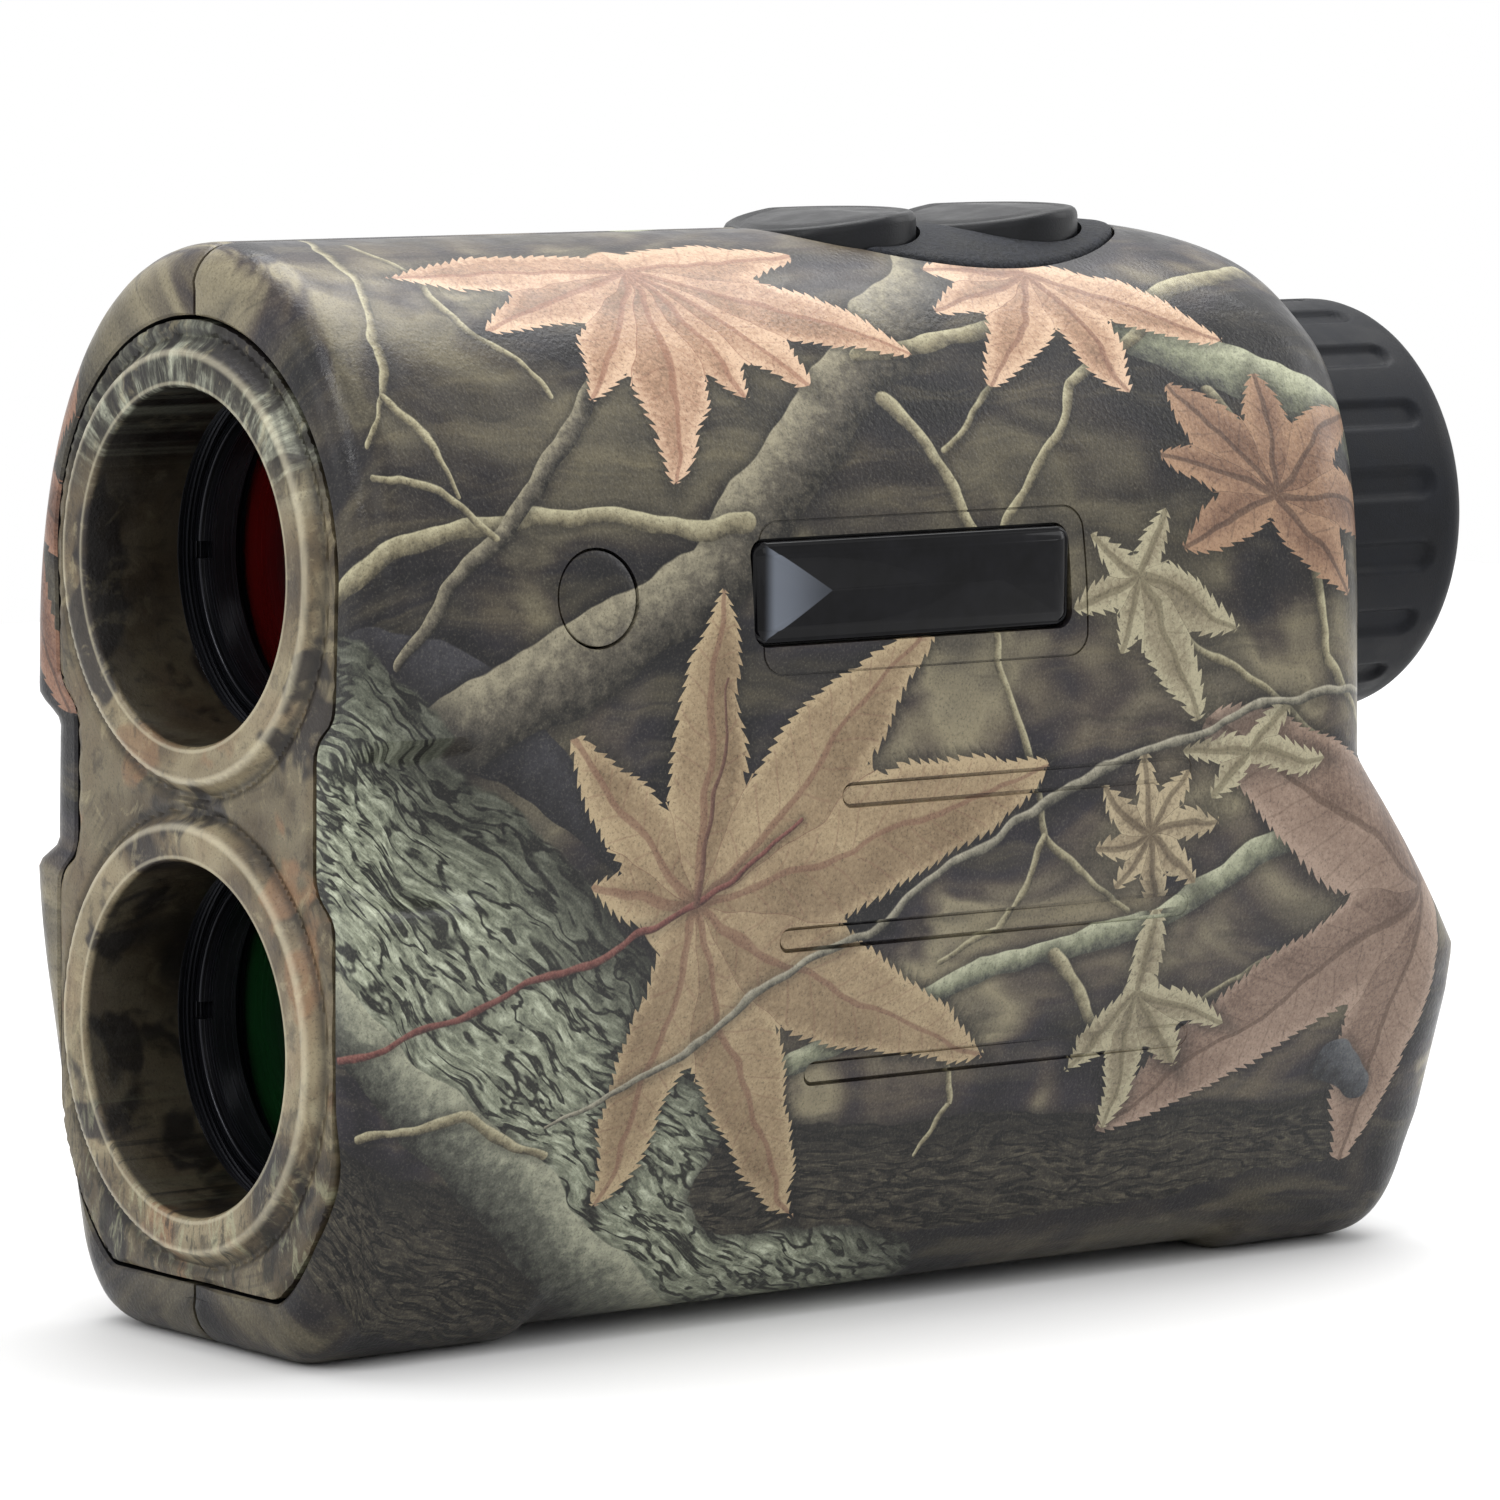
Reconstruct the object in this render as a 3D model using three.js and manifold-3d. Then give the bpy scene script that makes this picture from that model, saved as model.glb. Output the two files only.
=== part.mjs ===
// Hand-held laser rangefinder with a 6x viewing channel above and a receiver channel below.
// Millimetres, +Z up.  The lenses look along -Y and the eyepiece is at +Y.  X = 0 is the plane
// where the left and right case shells meet, and Z = 0 is the surface that the feet stand on.
import * as THREE from 'three';
import Module from 'manifold-3d';
import { mergeVertices } from 'three/addons/utils/BufferGeometryUtils.js';
import { ParametricGeometry } from 'three/addons/geometries/ParametricGeometry.js';

const wasm = await Module();
wasm.setup();

// ---------------------------------------------------------------- driving dimensions
const HALF_WIDTH = 20.9;        // case half width at mid height
const HIP = 0.3;                // extra half width low on the sides
const CREST_Z = 74.4;           // highest line of the case
const SHOULDER_Z = 45.4;        // where the sides start to round over to the top
const ROUND_POWER = 2.2;        // squareness of the rounded top
const BELLY_Z = 0.9;            // underside between the feet
const FOOT_DROP = 0.9;          // the feet stand this far below the belly
const BELLY_RADIUS = 7;         // rounding along the lower edges
const HIP_Z = 28.4;             // below this the sides lean inwards
const LEAN = 14.2 * Math.PI / 180;
const FRONT_Y = -50.3;          // front face of the case
const FRONT_RADIUS = 3;         // rounding around the front face
const WALL = 2;                 // case wall
const PARTING = 0.15;           // half of the seam between the shells

const RIM_Y = -51.3;            // front of the two lens rims
const UPPER_Z = 52.8;           // viewing axis
const LOWER_Z = 21.0;           // receiver axis
const BORE = 12;                // bore behind each rim
const TUBE_RADIUS = 13.6;       // outside of the hood tubes
const TUBE_END_Y = -43.5;       // back of the hood tubes
const CELL_RADIUS = 13.4;       // outside of the lens cells
const GAP = 0.3;                // clearance between neighbouring pieces

const EYECUP_END_Y = 51.3;
const EYECUP_RADIUS = 15.2;
const EYECUP_START_Y = 33.4;
const SLOT_COUNT = 18;          // finger slots around the eyecup
const SLOT_HALF = 1.05;
const SLOT_DEPTH = 0.55;

const BATTERY_Z = 19.6;         // battery axis
const BATTERY_RADIUS = 7.8;
const BATTERY_LENGTH = 27;
const CAP_RADIUS = 9.6;
const CAP_FACE_Y = 49.2;

const PAD_Y = 12.5;             // widest place of the keypad
const PAD_HALF_WIDTH = 9.8;
const PAD_FRONT = 19;           // keypad length ahead of the widest place
const PAD_REAR = 15;            // and behind it
const KEY_HALF_WIDTH = 7.1;
const KEY_FRONT = 7;
const KEY_REAR = 6.2;
const KEY_TOP_Z = 75.8;
const MEASURE_KEY_Y = 3.0;      // widest place of each key
const MODE_KEY_Y = 17.8;

const BOARD_X = 14.6;           // inner face of the main board
const SCREWS = [                // [y, z] of each case screw
  [-36, 69.8], [-34.5, 36.9], [-38, 5.2], [30, 69.2], [27, 34.7], [34, 7.2],
];

// ---------------------------------------------------------------- small helpers
const mix = (a, b, t) => a + (b - a) * t;
const ramp = (a, b, x) => THREE.MathUtils.smoothstep((x - a) / (b - a), 0, 1);

// Shares vertices, drops empty triangles and turns the faces outwards.
function tidy(source) {
  const bare = source.index ? source.toNonIndexed() : source.clone();
  for (const name of Object.keys(bare.attributes)) {
    if (name !== 'position') bare.deleteAttribute(name);
  }
  const merged = mergeVertices(bare, 1e-4);
  const p = merged.attributes.position;
  const kept = [];
  const corner = [new THREE.Vector3(), new THREE.Vector3(), new THREE.Vector3()];
  let volume = 0;
  for (let i = 0; i < merged.index.count; i += 3) {
    const tri = [0, 1, 2].map((k) => merged.index.getX(i + k));
    if (tri[0] === tri[1] || tri[1] === tri[2] || tri[2] === tri[0]) continue;
    tri.forEach((v, k) => corner[k].fromBufferAttribute(p, v));
    volume += corner[0].dot(corner[1].clone().cross(corner[2]));
    kept.push(...tri);
  }
  if (volume < 0) {
    for (let i = 0; i < kept.length; i += 3) [kept[i + 1], kept[i + 2]] = [kept[i + 2], kept[i + 1]];
  }
  merged.setIndex(kept);
  return merged;
}

function toSolid(geometry) {
  const g = tidy(geometry);
  const mesh = new wasm.Mesh({
    numProp: 3,
    vertProperties: new Float32Array(g.attributes.position.array),
    triVerts: new Uint32Array(g.index.array),
  });
  return new wasm.Manifold(mesh);
}

function toGeometry(solid) {
  const mesh = solid.getMesh();
  const g = new THREE.BufferGeometry();
  g.setAttribute('position', new THREE.BufferAttribute(new Float32Array(mesh.vertProperties), 3));
  g.setIndex(new THREE.BufferAttribute(new Uint32Array(mesh.triVerts), 1));
  return g;
}

const join = (first, ...rest) => rest.reduce((sum, g) => sum.add(toSolid(g)), toSolid(first));
const cut = (solid, ...tools) => tools.reduce((left, g) => left.subtract(toSolid(g)), solid);

// A turned piece about the Y axis at height z.  The profile is a list of [radius, y]; a profile
// that doesn't start and end on the axis is closed into a ring.
function turned(profile, z = 0, segments = 20) {
  const points = profile.map(([r, y]) => new THREE.Vector2(r, y));
  const onAxis = profile[0][0] === 0 && profile[profile.length - 1][0] === 0;
  if (!onAxis) points.push(points[0].clone());
  return tidy(new THREE.LatheGeometry(points, segments)).translate(0, 0, z);
}

const ring = (inner, outer, y0, y1, z, segments = 20) =>
  turned([[inner, y0], [outer, y0], [outer, y1], [inner, y1]], z, segments);
const disc = (radius, y0, y1, z, segments = 20) =>
  turned([[0, y0], [radius, y0], [radius, y1], [0, y1]], z, segments);
const box = (x0, x1, y0, y1, z0, z1) =>
  new THREE.BoxGeometry(x1 - x0, y1 - y0, z1 - z0)
    .translate((x0 + x1) / 2, (y0 + y1) / 2, (z0 + z1) / 2);
// A cylinder along X.
const crossPin = (radius, x0, x1, y, z, segments = 16) =>
  new THREE.CylinderGeometry(radius, radius, Math.abs(x1 - x0), segments)
    .rotateZ(Math.PI / 2).translate((x0 + x1) / 2, y, z);
// A cylinder along Z.
const post = (radius, x, y, z0, z1, segments = 16) =>
  new THREE.CylinderGeometry(radius, radius, z1 - z0, segments)
    .rotateX(Math.PI / 2).translate(x, y, (z0 + z1) / 2);
// A shape drawn in (x, z), standing between y0 and y1.
const wallPlate = (shape, y0, y1, curveSegments = 12) =>
  new THREE.ExtrudeGeometry(shape, { depth: y1 - y0, bevelEnabled: false, curveSegments })
    .rotateX(Math.PI / 2).translate(0, y1, 0);
// A shape drawn in (x, y), standing between z0 and z1.
const floorPlate = (shape, z0, z1, curveSegments = 12) =>
  new THREE.ExtrudeGeometry(shape, { depth: z1 - z0, bevelEnabled: false, curveSegments })
    .translate(0, 0, z0);
// A shape drawn in (y, z), standing between x0 and x1.
const sidePlate = (shape, x0, x1, curveSegments = 8) =>
  new THREE.ExtrudeGeometry(shape, { depth: x1 - x0, bevelEnabled: false, curveSegments })
    .rotateZ(Math.PI / 2).rotateY(Math.PI / 2).translate(x0, 0, 0);

// ---------------------------------------------------------------- the case surface
// Outline of the case seen from the front, right half, bottom centre (v = 0) to crest (v = 1).
function caseOutline(v, inset) {
  const belly = BELLY_Z + inset;
  const hip = HALF_WIDTH + HIP - inset;
  const width = HALF_WIDTH - inset;
  const radius = BELLY_RADIUS - inset;
  const leanX = (z) => hip - (HIP_Z - z) * Math.tan(LEAN);
  const flat = leanX(belly + radius) - radius / Math.cos(LEAN);
  if (v < 0.08) return [flat * v / 0.08, belly];
  if (v < 0.2) {
    const a = mix(-Math.PI / 2, -LEAN, (v - 0.08) / 0.12);
    return [flat + radius * Math.cos(a), belly + radius + radius * Math.sin(a)];
  }
  const kneeZ = belly + radius - radius * Math.sin(LEAN);
  if (v < 0.32) {
    const z = mix(kneeZ, 22.9, (v - 0.2) / 0.12);
    return [leanX(z), z];
  }
  if (v < 0.44) {
    const t = (v - 0.32) / 0.12;
    const s = 1 - t;
    const x = s * s * leanX(22.9) + 2 * s * t * hip + t * t * (hip - 0.05);
    return [x, s * s * 22.9 + 2 * s * t * HIP_Z + t * t * 33.9];
  }
  if (v < 0.58) {
    const t = (v - 0.44) / 0.14;
    return [mix(hip - 0.05, width, t), mix(33.9, SHOULDER_Z, t)];
  }
  const a = Math.PI / 2 * (v - 0.58) / 0.42;
  const rise = CREST_Z - inset - SHOULDER_Z;
  return [
    width * Math.max(0, Math.cos(a)) ** (2 / ROUND_POWER),
    SHOULDER_Z + rise * Math.sin(a) ** (2 / ROUND_POWER),
  ];
}

// How far back the case reaches at height z: an upright face behind the battery, a slanted
// facet above it, and the upper face around the eyepiece.
const REAR_STATIONS = [[0, 46.7], [9.4, 49.2], [18.4, 49.8], [21.9, 49.6], [34.7, 39.8], [36.4, 38.6],
  [50.4, 38.6], [62.4, 39.2], [80, 39.2]];
function rearY(z) {
  let k = 1;
  while (z > REAR_STATIONS[k][0] && k < REAR_STATIONS.length - 1) k += 1;
  const [z0, y0] = REAR_STATIONS[k - 1];
  const [z1, y1] = REAR_STATIONS[k];
  return mix(y0, y1, (z - z0) / (z1 - z0));
}

// Places along the sides: fixed ones around the waist and the front foot, then fractions of the
// way from the last of them to the start of the rear rounding.
const SIDE_Y = [-44.5, -38.5, -33, -31];
const SIDE_FRACTIONS = [0.4, 0.8, 0.84, 1];
function sideY(step, start, end) {
  if (step <= 0) return start;
  if (step <= SIDE_Y.length) return SIDE_Y[step - 1];
  return mix(SIDE_Y[SIDE_Y.length - 1], end, SIDE_FRACTIONS[step - SIDE_Y.length - 1]);
}

// The closed outer skin, or the hollow inside it when inset is the wall.  u runs from the middle
// of the front face, round its edge, along the sides and round to the middle of the rear face.
function caseSkin(inset, slices) {
  const frontSteps = 2;
  const rearSteps = 4;
  const sideSteps = SIDE_Y.length + SIDE_FRACTIONS.length;
  const stacks = 2 + frontSteps + sideSteps + rearSteps;
  const at = (u, w, target) => {
    const right = w <= 0.5;
    const v = right ? w * 2 : (1 - w) * 2;
    const step = 1e-3;
    const [x, z] = caseOutline(v, inset);
    const [xa, za] = caseOutline(Math.max(0, v - step), inset);
    const [xb, zb] = caseOutline(Math.min(1, v + step), inset);
    const length = Math.hypot(xb - xa, zb - za);
    const edge = v === 0 || v === 1;
    const nx = edge ? 0 : (zb - za) / length;
    const nz = edge ? (v === 0 ? -1 : 1) : -(xb - xa) / length;
    const top = ramp(65.4, CREST_Z, z);
    const low = ramp(9.4, 1.6, z);
    const power = 2 / mix(2, 1.75, top);
    const shrink = (r) => Math.max(r - inset, 1);
    const depth = shrink(mix(mix(5.6, 4.4, top), 7, low));
    const reach = shrink(mix(mix(6.8, 16.5, top), 4.3, low));
    const round = shrink(FRONT_RADIUS);
    const front = FRONT_Y + inset;
    const k = Math.round(u * stacks);
    const pull = (d) => [x - nx * d, z - nz * d];
    let px;
    let py;
    let pz;
    if (k <= 1) {
      [px, pz] = pull(round);
      px *= k;
      py = front;
    } else if (k <= 1 + frontSteps) {
      const a = Math.PI / 2 * (k - 1) / frontSteps;
      [px, pz] = pull(round * (1 - Math.sin(a)));
      py = front + round * (1 - Math.cos(a));
    } else if (k <= 1 + frontSteps + sideSteps) {
      [px, pz] = [x, z];
      py = sideY(k - 1 - frontSteps, front + round, rearY(z) - inset - reach);
    } else {
      const a = Math.PI / 2 * Math.min(1, (k - 1 - frontSteps - sideSteps) / rearSteps);
      [px, pz] = pull(depth * (1 - Math.max(0, Math.cos(a)) ** power));
      py = rearY(pz) - inset - reach * (1 - Math.sin(a) ** power);
      px *= Math.min(1, stacks - k);
    }
    const waist = ramp(30.7, 32.9, pz) * ramp(43, 40.8, pz) * ramp(-38.5, -44.5, py) * ramp(15, 18, px);
    px -= 2.7 * waist;
    const foot = Math.max(ramp(-31, -33, py), ramp(29.5, 32, py));
    pz -= FOOT_DROP * foot * ramp(7, 1.8, pz);
    target.set(right ? px : -px, py, pz);
  };
  return tidy(new ParametricGeometry(at, stacks, slices));
}

// ---------------------------------------------------------------- outlines
// The front plate: two round lobes joined by a narrow waist, flat along the bottom.
function bezelShape(grow) {
  const side = 16.2 + grow;
  const waist = 14 + grow;
  const bottom = 4.6 - grow;
  const arc = 16.5 + grow;
  const s = new THREE.Shape();
  s.moveTo(-9.2 - grow, bottom);
  s.lineTo(9.2 + grow, bottom);
  s.bezierCurveTo(11 + grow, bottom, side, 10.5, side, 15.5);
  s.lineTo(side, 29.5);
  s.bezierCurveTo(side, 31.6, waist, 31.2, waist, 33.6);
  s.lineTo(waist, 40.8);
  s.bezierCurveTo(waist, 43.2, side, 42.8, side, 45);
  s.lineTo(arc, UPPER_Z);
  s.absarc(0, UPPER_Z, arc, 0, Math.PI, false);
  s.lineTo(-side, 45);
  s.bezierCurveTo(-side, 42.8, -waist, 43.2, -waist, 40.8);
  s.lineTo(-waist, 33.6);
  s.bezierCurveTo(-waist, 31.2, -side, 31.6, -side, 29.5);
  s.lineTo(-side, 15.5);
  s.bezierCurveTo(-side, 10.5, -11 - grow, bottom, -9.2 - grow, bottom);
  return s;
}

// An egg with its widest place at y, longer towards the front.
function eggShape(y, halfWidth, front, rear) {
  const s = new THREE.Shape();
  s.absellipse(0, y, halfWidth, rear, 0, Math.PI, false);
  s.absellipse(0, y, halfWidth, front, Math.PI, 2 * Math.PI, false);
  return s;
}

// A bar with round ends from (a0, b) to (a1, b).
function capsuleShape(a0, a1, b, radius) {
  const s = new THREE.Shape();
  s.absarc(a1 - radius, b, radius, -Math.PI / 2, Math.PI / 2, false);
  s.absarc(a0 + radius, b, radius, Math.PI / 2, 3 * Math.PI / 2, false);
  return s;
}

function roundedRectangle(a0, a1, b0, b1, r) {
  const s = new THREE.Shape();
  s.absarc(a1 - r, b0 + r, r, -Math.PI / 2, 0, false);
  s.absarc(a1 - r, b1 - r, r, 0, Math.PI / 2, false);
  s.absarc(a0 + r, b1 - r, r, Math.PI / 2, Math.PI, false);
  s.absarc(a0 + r, b0 + r, r, Math.PI, 3 * Math.PI / 2, false);
  return s;
}

const padShape = (grow) => eggShape(PAD_Y, PAD_HALF_WIDTH + grow, PAD_FRONT + grow, PAD_REAR + grow);
const keyShape = (y, grow) => eggShape(y, KEY_HALF_WIDTH + grow, KEY_FRONT + grow, KEY_REAR + grow);

// ---------------------------------------------------------------- case shells
const SKIN_SLICES = 52;
const skinSolid = toSolid(caseSkin(0, SKIN_SLICES));
const hollowSolid = toSolid(caseSkin(WALL, 36));
const BADGE = { y0: -18.8, y1: 8.6, z0: 47.5, z1: 54.4, floorX: 19.4, faceX: 21.1 };
const PLUG = { y: -31.9, z: 51.3, radius: 3.2, floorX: 18.9, faceX: 20.5 };
const RIBS = [[-11.4, 19.5, 36.9], [-16.4, 19.7, 27.3], [-12.5, 21.7, 17.6]];   // [y0, y1, z]
const RIB_HALF = 0.7;
const RIB_DEPTH = 0.35;

// Outer half width of the case at height z, where the side is straight along Y.
function sideX(z) {
  let low = 0.2;
  let high = 1;
  for (let i = 0; i < 30; i += 1) {
    const middle = (low + high) / 2;
    if (caseOutline(middle, 0)[1] < z) low = middle;
    else high = middle;
  }
  return caseOutline(low, 0)[0];
}

const headX = (z) => sideX(z) - 1.3;    // outer face of a sunk screw head

function shell(side) {
  const keep = side > 0 ? box(PARTING, 30, -60, 60, -5, 90) : box(-30, -PARTING, -60, 60, -5, 90);
  let body = skinSolid.subtract(hollowSolid);
  const collar = disc(CAP_RADIUS + 2, 36, 48.6, BATTERY_Z, 24);
  body = body.add(toSolid(collar));
  const web = cut(toSolid(box(-22, 22, 27.4, 30.4, 38.5, 70)), disc(12.9, 20, 40, UPPER_Z));
  let pillars = web;
  for (const [y, z] of SCREWS) {
    const foot = sideX(z) - 5.5;
    pillars = pillars.add(toSolid(crossPin(2.2, -20, 20, y, z, 8)));
    pillars = pillars.add(toSolid(crossPin(3.3, side * foot, side * 22, y, z, 10)));
  }
  body = body.add(pillars.intersect(skinSolid));
  body = cut(
    body,
    wallPlate(bezelShape(GAP), -60, -46.5, 6),
    disc(EYECUP_RADIUS + 0.35, EYECUP_START_Y - 0.4, 60, UPPER_Z, 28),
    disc(CAP_RADIUS + GAP, 30, 60, BATTERY_Z),
    floorPlate(keyShape(MEASURE_KEY_Y, 0.5), 60, 90, 8),
    floorPlate(keyShape(MODE_KEY_Y, 0.5), 60, 90, 8),
  );
  const sunk = toSolid(caseSkin(1.3, SKIN_SLICES));
  body = body.subtract(toSolid(floorPlate(padShape(0.2), 60, 90)).subtract(sunk));
  for (const [y, z] of SCREWS) {
    body = cut(body, crossPin(1.15, -30, 7, y, z, 8), crossPin(2.25, -30, -headX(z) + 1.9, y, z, 10));
  }
  for (const [y0, y1, z] of RIBS) {
    const depth = sideX(z) - RIB_DEPTH;
    const groove = sidePlate(capsuleShape(y0, y1, z, RIB_HALF), depth, 30, 3);
    body = cut(body, side > 0 ? groove : groove.rotateZ(Math.PI).translate(0, y0 + y1, 0));
  }
  if (side > 0) {
    const pocket = roundedRectangle(BADGE.y0 - 0.2, BADGE.y1 + 0.2, BADGE.z0 - 0.2, BADGE.z1 + 0.2, 1.2);
    body = cut(
      body,
      sidePlate(pocket, BADGE.floorX - 0.1, 30, 3),
      crossPin(PLUG.radius + 0.25, PLUG.floorX - 0.1, 30, PLUG.y, PLUG.z, 24),
    );
  }
  return toGeometry(body.intersect(toSolid(keep)));
}

// ---------------------------------------------------------------- front plate and trim
function frontBezel() {
  const rim = (z) => turned([
    [11, RIM_Y], [14.0, RIM_Y], [14.8, -50.2], [TUBE_RADIUS, -47.8], [TUBE_RADIUS, TUBE_END_Y],
    [11, TUBE_END_Y],
  ], z, 28);
  const plate = wallPlate(bezelShape(0), -50.3, -47.3, 6);
  const bore = (z) => disc(BORE, -60, -40, z, 28);
  return toGeometry(cut(join(plate, rim(UPPER_Z), rim(LOWER_Z)), bore(UPPER_Z), bore(LOWER_Z)));
}

// The badge is a blank gloss plate with a sloped front end.
function badgePlate() {
  const outline = roundedRectangle(BADGE.y0, BADGE.y1, BADGE.z0, BADGE.z1, 1);
  const plate = toSolid(sidePlate(outline, BADGE.floorX, BADGE.faceX, 4));
  const slope = box(0, 3, -6, 6, -6, 6).rotateZ(-0.22).translate(BADGE.faceX, BADGE.y0 - 0.5, 50.9);
  return toGeometry(cut(plate, slope));
}

const sidePlug = () => crossPin(PLUG.radius, PLUG.floorX, PLUG.faceX, PLUG.y, PLUG.z, 24);

// A pan-headed case screw with a slot, driven in from the left side.
function caseScrew([y, z]) {
  const head = -headX(z);
  const body = join(crossPin(2, head, head + 1.4, y, z, 10), crossPin(1, head + 1, 5, y, z, 6));
  return toGeometry(cut(body, box(head - 1, head + 0.5, y - 0.3, y + 0.3, z - 3, z + 3)));
}

// ---------------------------------------------------------------- keypad
function keypadPad() {
  const floor = toSolid(caseSkin(1.1, SKIN_SLICES));
  const slab = toSolid(floorPlate(padShape(0), 60, 90)).intersect(skinSolid).subtract(floor);
  const holes = [MEASURE_KEY_Y, MODE_KEY_Y].map((y) => floorPlate(keyShape(y, 0.3), 60, 90, 8));
  return toGeometry(cut(slab, ...holes));
}

// A key: low at its front tip, thick at the back, with a short plunger over the switch.
function keyCap(y) {
  const block = toSolid(floorPlate(keyShape(y, 0), 71.2, KEY_TOP_Z + 1, 8));
  const dome = new THREE.SphereGeometry(60, 96, 48).translate(0, y + 1.2, KEY_TOP_Z - 60);
  const domed = block.intersect(toSolid(dome));
  const slope = box(-12, 12, -12, 0, 0, 6).rotateX(0.13).translate(0, y + 0.5, KEY_TOP_Z);
  return toGeometry(cut(domed, slope).add(toSolid(post(1.6, 0, y + 1, 70.45, 71.4, 12))));
}

const keypadBoard = () => floorPlate(roundedRectangle(-7, 7, -6, 26, 2), 66.9, 67.9, 4);

// A tactile switch: a square can with a round actuator.
const tactSwitch = (y) => toGeometry(join(
  box(-3, 3, y - 2, y + 4, 67.9, 69.3),
  post(1.6, 0, y + 1, 69.2, 69.6, 12),
));

// ---------------------------------------------------------------- lens groups
// A lens cell with a shoulder behind the lens.
const lensCell = (z) => turned([
  [12.3, TUBE_END_Y + GAP], [CELL_RADIUS, TUBE_END_Y + GAP], [CELL_RADIUS, -26], [11.4, -26],
  [10.9, -34], [12.3, -34],
], z);

// The threaded ring that holds a lens, with two notches for a spanner.
function retainingRing(z) {
  const body = toSolid(turned([
    [10.9, -39.4], [10.9, -41.6], [11.3, -42.3], [12.1, -42.3], [12.1, -39.4],
  ], z));
  const notch = box(-13, 13, -43, -41.4, z - 0.6, z + 0.6);
  return toGeometry(cut(body, notch));
}

// A round lens; the sags are the heights of its two curved faces.
function lens(radius, y0, y1, sag0, sag1, z, segments = 20, steps = 2) {
  const profile = [];
  for (let i = 0; i <= steps; i += 1) {
    const t = i / steps;
    profile.push([radius * t, y0 - sag0 * (1 - t * t)]);
  }
  for (let i = steps; i >= 0; i -= 1) {
    const t = i / steps;
    profile.push([radius * t, y1 + sag1 * (1 - t * t)]);
  }
  return turned(profile, z, segments);
}

const receiverHood = () => turned([
  [11.1, -25.6], [12.3, -25.6], [12.3, -24], [6.4, -12.6], [5.2, -12.6], [11.1, -23.6],
], LOWER_Z);

// ---------------------------------------------------------------- prism group and laser
function prismFrame() {
  const block = toSolid(box(-12.6, 12.6, -25, 13, 40.2, 66));
  const bay = box(-11.2, 11.2, -23.8, 11.8, 41.4, 70);
  const windows = [disc(10, -30, -20, UPPER_Z, 24), disc(8, 10, 15, UPPER_Z, 24)];
  const port = post(3.2, 0, -4, 30, 45, 16);
  return toGeometry(cut(block, bay, ...windows, port));
}

const prismShape = (points) => new THREE.Shape(points.map(([y, z]) => new THREE.Vector2(y, z)));
const PRISM_HALF = 9.5;
const halfPrism = () => sidePlate(
  prismShape([[-22, 43], [-22, 62.6], [-12.4, 62.6], [-2, 49.4], [-8.4, 43]]),
  -PRISM_HALF,
  PRISM_HALF,
);
const roofPrism = () => sidePlate(
  prismShape([[-1.4, 49.8], [-11.6, 62.8], [9.6, 62.8], [9.6, 46.6], [4.4, 44.2]]),
  -PRISM_HALF,
  PRISM_HALF,
);
const laserHolder = () => toGeometry(cut(
  toSolid(box(-6.5, 6.5, -9.5, 1.5, 34.8, 39.9)),
  post(2.9, 0, -4, 36.2, 45, 20),
  post(2.2, 0, -4, 30, 37, 16),
));
const laserDiode = () => toGeometry(join(
  post(2.8, 0, -4, 36.3, 37.5, 20),
  post(2.3, 0, -4, 37.4, 39.6, 20),
));

const displayPanel = () => box(-8, 8, 13.9, 15.3, 46.6, 59);
function displayFrame() {
  const plate = toSolid(box(-10.5, 10.5, 13.2, 18, 44.4, 61.4));
  const seat = box(-8.1, 8.1, 13, 15.4, 46.5, 59.1);
  return toGeometry(cut(plate, seat, disc(6.6, 12, 20, UPPER_Z, 24)));
}

// ---------------------------------------------------------------- eyepiece
const eyepieceBarrel = () => turned([
  [11.1, 21.5], [12.6, 21.5], [12.6, 30.7], [13.9, 30.7], [13.9, 32.5], [12.6, 32.5], [12.6, 47.6],
  [11.1, 47.6],
], UPPER_Z);
const diopterRing = () => turned([
  [12.9, EYECUP_START_Y], [13.8, EYECUP_START_Y], [13.8, 49.8], [10.3, 49.8], [10.3, 49], [12.9, 49],
], UPPER_Z);

// The rubber cup with lengthwise grip slots round its outside.
function eyecup() {
  const body = toSolid(turned([
    [13.9, EYECUP_START_Y], [EYECUP_RADIUS - 0.3, EYECUP_START_Y], [EYECUP_RADIUS, EYECUP_START_Y + 0.4],
    [EYECUP_RADIUS, 49.4], [EYECUP_RADIUS - 0.5, 50.7], [EYECUP_RADIUS - 1.6, EYECUP_END_Y],
    [10.6, EYECUP_END_Y], [9.6, 50], [13.9, 50],
  ], UPPER_Z, 36));
  let cup = body;
  for (let i = 0; i < SLOT_COUNT; i += 1) {
    const floor = EYECUP_RADIUS - SLOT_DEPTH;
    const slot = box(-SLOT_HALF, SLOT_HALF, EYECUP_START_Y + 1.6, 47.6, floor, EYECUP_RADIUS + 2);
    slot.rotateY((i + 0.5) * 2 * Math.PI / SLOT_COUNT).translate(0, 0, UPPER_Z);
    cup = cut(cup, slot);
  }
  return toGeometry(cup);
}

const eyepieceCell = () => turned([
  [9.9, 24.4], [10.8, 24.4], [10.8, 46.2], [9.9, 46.2], [9.9, 41.6], [8.9, 41.6], [8.9, 30.2], [9.9, 30.2],
], UPPER_Z);

// ---------------------------------------------------------------- electronics
const sensorBoard = () => box(-11, 11, -7.2, -6, 11.5, 31.5);
const sensorCan = () => toGeometry(join(
  disc(4.2, -12.3, -7.2, LOWER_Z, 24),
  disc(4.7, -8.1, -7.2, LOWER_Z, 24),
));
const mainBoard = () => sidePlate(roundedRectangle(-24, 20, 18.5, 60, 1.5), BOARD_X, BOARD_X + 1, 3);
const processorChip = () => box(BOARD_X - 1.4, BOARD_X, -2, 8, 46, 56);
const transformer = () => box(BOARD_X - 8, BOARD_X, -3, 6, 22, 30.5);
const storageCapacitor = () => disc(3.15, -4.5, 7, 0, 20).translate(3, 0, 26.5);

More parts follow.
